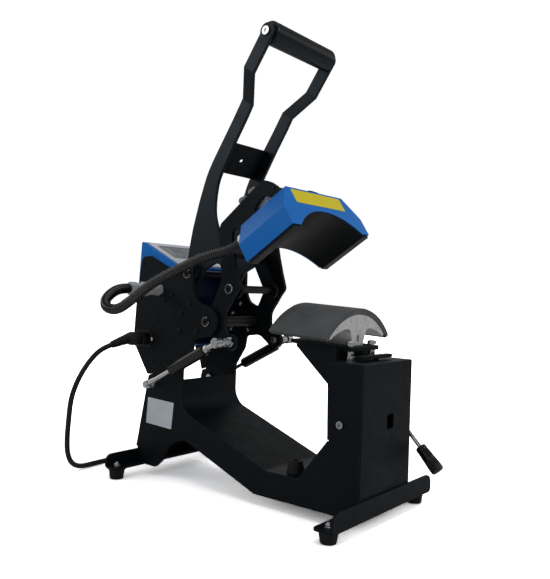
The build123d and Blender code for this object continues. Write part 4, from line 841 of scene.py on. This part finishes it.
loc = [(-(y - qc[0]), (z - qc[1])) for y, z in quad]
zx = M.inverted() @ P(-55.0, quad[0][0], quad[0][1])
flip = 1.0 if abs(zx.y - loc[0][1]) < 0.5 else -1.0
mb.slab(M, soft_quad([(x, y * flip) for x, y in loc]), -0.02, 0.20, 0, 0.06)
mb.obj("rating_plate_blank", [label], "root", sharp=30)

# ------------------------------------------------------------------ display and keys on the control box
PANG = math.radians(24.94)
PU = (0.0, cos(PANG), sin(PANG))
PN = (0.0, -sin(PANG), cos(PANG))


def pan(x, v, n):
    return (x, 298.0 + v * PU[1] + n * PN[1], 289.2 + v * PU[2] + n * PN[2])


bezel = Mat("bezel_grey", (0.20, 0.21, 0.225), (0.24, 0.25, 0.265), rough=(0.34, 0.44), spec=0.45, cscale=40.0, bump=(900.0, 0.02),
            strength=0.25, edge=(0.40, 0.41, 0.43), edge_mm=0.3)
glass = Mat("display_glass", (0.34, 0.37, 0.40), (0.38, 0.41, 0.44), rough=(0.08, 0.14), spec=0.5, cscale=20.0, bump=(200.0, 0.005),
            strength=0.1, coat=0.6, coat_rough=0.05)
digit = Mat("digit_ink", (0.020, 0.024, 0.030), (0.028, 0.032, 0.040), rough=(0.3, 0.4), spec=0.4, cscale=60.0, bump=(900.0, 0.01), strength=0.2)
mb = MB()
M = basis(pan(0, 49.0, 0.9), PN, (1, 0, 0))
# frame round the window, open in the middle
outer = rrect(33.5, 20.5, 2.5, 5); inner = rrect(30.5, 17.5, 1.5, 5)
n_ = len(outer)
ringz = [(outer, -0.05), (outer, 0.55), ([(x * 0.985, y * 0.985) for x, y in outer], 0.75), ([(x * 1.012, y * 1.012) for x, y in inner], 0.75), (inner, 0.55), (inner, -0.05)]
mb.loft([[M @ Vector((x, y, z)) for x, y in r] for r, z in ringz], 0, closed=True)
mb.slab(M, rrect(30.6, 17.6, 1.5, 5), -0.05, 0.22, 1, 0.05)
SEGS = {"0": "abcdef", "1": "bc", "2": "abged", "3": "abgcd", "4": "fgbc", "5": "afgcd", "6": "afgecd", "7": "abc", "8": "abcdefg", "9": "abcfgd"}


def seven(mb, M, ch, cx, cy, hw, hh, t, mi):
    bars = {"a": (0, hh, 1), "g": (0, 0, 1), "d": (0, -hh, 1), "f": (-hw, hh / 2, 0), "b": (hw, hh / 2, 0), "e": (-hw, -hh / 2, 0), "c": (hw, -hh / 2, 0)}
    for s_ in SEGS[ch]:
        x, y, hor = bars[s_]
        L = (hw if hor else hh / 2) - 0.25
        if hor:
            o = [(-L, 0), (-L + t, t), (L - t, t), (L, 0), (L - t, -t), (-L + t, -t)]
        else:
            o = [(0, -L), (t, -L + t), (t, L - t), (0, L), (-t, L - t), (-t, -L + t)]
        mb.slab(M, [(cx + x + p, cy + y + q) for p, q in o], 0.20, 0.30, mi)


for i, ch in enumerate("180"):
    seven(mb, M, ch, -19.0 + i * 9.5, 5.5, 2.6, 8.0, 0.75, 2)
for i, ch in enumerate("015"):
    seven(mb, M, ch, -1.0 + 13.0 + i * 6.6, 4.0, 1.8, 5.0, 0.5, 2)
mb.slab(M, [(-27.0, -9.6), (27.0, -9.6), (27.0, -9.2), (-27.0, -9.2)], 0.20, 0.28, 2)
for i in range(5):
    mb.slab(M, rrect(2.6, 1.1, 0.4, 3, -22.0 + i * 11.0, -12.8), 0.20, 0.28, 2)
mb.obj("display_window", [bezel, glass, digit], "root", sharp=30)
# raised rims round the keys
mb = MB()
for bx in (-16.0, 0.0, 16.0):
    M = basis(pan(bx, 17.0, 0.9), PN, (1, 0, 0))
    mb.turned(M, [(5.3, -0.1), (6.6, -0.1), (6.6, 0.15), (6.3, 0.4), (5.6, 0.4), (5.3, 0.15)], 36, 0)
mb.obj("key_rims", [bezel], "root", sharp=35)
# simple arrows and a square on the key caps
for nm, bx, bd_ in (("button_up", -16.0, "key_up"), ("button_down", 0.0, "key_down"), ("button_set", 16.0, "key_set")):
    mb = MB()
    M = basis(pan(bx, 17.0, 2.3), PN, (1, 0, 0))
    if nm == "button_up":
        o = [(-2.0, -1.2), (2.0, -1.2), (0.0, 1.9)]
    elif nm == "button_down":
        o = [(-2.0, 1.2), (0.0, -1.9), (2.0, 1.2)]
    else:
        o = rrect(1.6, 1.6, 0.3, 3)
    mb.slab(M, o, -0.05, 0.12, 0)
    mb.obj(nm + "_mark", [S["panel_film"]], bd_, sharp=30)
# ------------------------------------------------------------------ lever knob with a fluted grip
LD = (0.0, cos(math.radians(225.3)), sin(math.radians(225.3)))
ko = (66.0, 28.0 + LD[1] * 52.0, 115.0 + LD[2] * 52.0)
M = basis(ko, LD, (1, 0, 0))
mb = MB()
NK = 72
rings = []
prof = [(2.6, -0.2), (5.2, -0.2), (6.2, 0.4), (6.7, 1.4), (6.9, 4.0), (6.6, 5.4), (6.8, 6.8), (7.1, 10.5), (7.4, 16.0), (7.7, 22.0),
        (7.9, 25.0), (8.05, 27.0), (8.1, 30.0), (8.1, 32.0), (7.9, 33.6), (7.2, 35.0), (5.8, 35.8), (3.0, 36.2), (0.3, 36.25)]
fine = []
for (ra, za), (rb, zb) in zip(prof, prof[1:]):
    k = max(1, int(abs(zb - za) / 0.8))
    for j in range(k):
        t = j / k
        fine.append((ra + (rb - ra) * t, za + (zb - za) * t))
fine.append(prof[-1])
for r, z in fine:
    fl = seg(z, 17.0, 20.0) * (1.0 - seg(z, 32.4, 34.2))
    rings.append(([((r - fl * 0.55 * (0.5 - 0.5 * cos(18 * 2 * pi * i / NK)) ** 2) * cos(2 * pi * i / NK),
                    (r - fl * 0.55 * (0.5 - 0.5 * cos(18 * 2 * pi * i / NK)) ** 2) * sin(2 * pi * i / NK)) for i in range(NK)], z))
mb.stack(M, rings, 0, True, True)
knob = mb.obj("lever_knob_fluted", [S["gloss_black"]], "clamp_lever_body", sharp=50)
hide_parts("lever_knob")

# ------------------------------------------------------------------ small parts seen in the frame
# threaded ends of the levelling studs and the platen's guide bushes
mb = MB()
for (bx, ba) in ((-30.0, 61.0), (30.0, 61.0), (-30.0, 80.0), (30.0, 80.0)):
    q = wp(bx, ba, 87.2)
    M = basis(q, AXIS_U, (1, 0, 0))
    prof_t = []
    for i in range(0, 57):
        z = 8.8 * i / 56.0
        prof_t.append((4.0 + 0.22 * (0.5 + 0.5 * sin(2 * pi * z / 1.25)), z))
    mb.lathe(M, prof_t, 28, 0)
    washer(mb, wp(bx, ba, 82.2), AXIS_U, 4.2, 8.6, 0.9, 0)
mb.obj("pressure_bolt_threads", [bolt_dark], "platen_arm", sharp=70)

# ------------------------------------------------------------------ floor, backdrop and light
scene = bpy.context.scene
w = bpy.data.worlds.new("studio"); scene.world = w
w.use_nodes = True
w.node_tree.nodes["Background"].inputs[0].default_value = (1, 1, 1, 1)
w.node_tree.nodes["Background"].inputs[1].default_value = 0.30
wtc = w.node_tree.nodes.new("ShaderNodeTexCoord"); wsp = w.node_tree.nodes.new("ShaderNodeSeparateXYZ"); wrp = w.node_tree.nodes.new("ShaderNodeValToRGB")
w.node_tree.links.new(wtc.outputs["Generated"], wsp.inputs[0]); w.node_tree.links.new(wsp.outputs["Z"], wrp.inputs["Fac"])
w.node_tree.links.new(wrp.outputs["Color"], w.node_tree.nodes["Background"].inputs[0])
cr = wrp.color_ramp
for k, (at, v) in enumerate(((0.0, 0.20), (0.09, 0.35), (0.16, 2.1), (0.42, 2.2), (0.50, 0.5))):
    el = cr.elements[k] if k < 2 else cr.elements.new(at)
    el.position = at; el.color = (v, v, v, 1)
wn_, wl_ = w.node_tree.nodes, w.node_tree.links
seen = wn_.new("ShaderNodeBackground"); seen.inputs[0].default_value = (1, 1, 1, 1); seen.inputs[1].default_value = 1.02
lpw = wn_.new("ShaderNodeLightPath"); mxw = wn_.new("ShaderNodeMixShader")
wl_.new(lpw.outputs["Is Camera Ray"], mxw.inputs[0]); wl_.new(wn_["Background"].outputs[0], mxw.inputs[1]); wl_.new(seen.outputs[0], mxw.inputs[2])
wl_.new(mxw.outputs[0], wn_["World Output"].inputs["Surface"])
me = bpy.data.meshes.new("floor"); bm = bmesh.new()
bmesh.ops.create_grid(bm, x_segments=1, y_segments=1, size=9.0)
bm.to_mesh(me); bm.free()
floor = bpy.data.objects.new("floor", me); scene.collection.objects.link(floor)
fm = Mat("floor", (0.72, 0.72, 0.72), (0.74, 0.74, 0.74), rough=(0.6, 0.7), spec=0.1, cscale=2.0, bump=(60.0, 0.02), strength=0.05)
me.materials.append(fm.m)
em = fm.node("ShaderNodeEmission")
fm.link(fm.math("ADD", fm.math("MULTIPLY", fm.dist((0.0, 0.0, 0.0), (1, 1, 0), 0.70, 0.34), 0.95), 0.06), em.inputs["Strength"])
df = fm.node("ShaderNodeBsdfDiffuse"); df.inputs["Color"].default_value = (0.95, 0.95, 0.95, 1.0)
d2 = fm.node("ShaderNodeAddShader"); d4 = fm.node("ShaderNodeAddShader")
for i in (0, 1):
    fm.link(df.outputs[0], d2.inputs[i])
for i in (0, 1):
    fm.link(d2.outputs[0], d4.inputs[i])
lpf = fm.node("ShaderNodeLightPath"); ad = fm.node("ShaderNodeAddShader"); mxf = fm.node("ShaderNodeMixShader")
fm.link(d4.outputs[0], ad.inputs[0]); fm.link(em.outputs[0], ad.inputs[1])
fm.link(lpf.outputs["Is Camera Ray"], mxf.inputs[0]); fm.link(fm.b.outputs[0], mxf.inputs[1]); fm.link(ad.outputs[0], mxf.inputs[2])
fm.link(mxf.outputs[0], fm.nt.nodes["Material Output"].inputs["Surface"])


def area(name, loc, target, size, power, size_y=None):
    ld = bpy.data.lights.new(name, "AREA")
    ld.energy = power
    ld.size = size
    if size_y:
        ld.shape = "RECTANGLE"; ld.size_y = size_y
    lo = bpy.data.objects.new(name, ld)
    scene.collection.objects.link(lo)
    lo.location = loc
    lo.rotation_mode = "QUATERNION"
    lo.rotation_quaternion = (Vector(target) - Vector(loc)).to_track_quat("-Z", "Y")
    return lo


area("top_soft", (-0.1, -0.3, 2.2), (0, 0, 0.2), 1.6, 9.0)
area("key_front", (0.5, -1.9, 1.6), (0, 0, 0.3), 0.9, 8.0)
area("rim_left", (-1.9, 0.5, 1.0), (0, 0, 0.3), 0.7, 0.4, 1.4)
area("back_left", (-1.45, 1.55, 1.15), (0, 0, 0.42), 1.3, 3.8, 0.8)
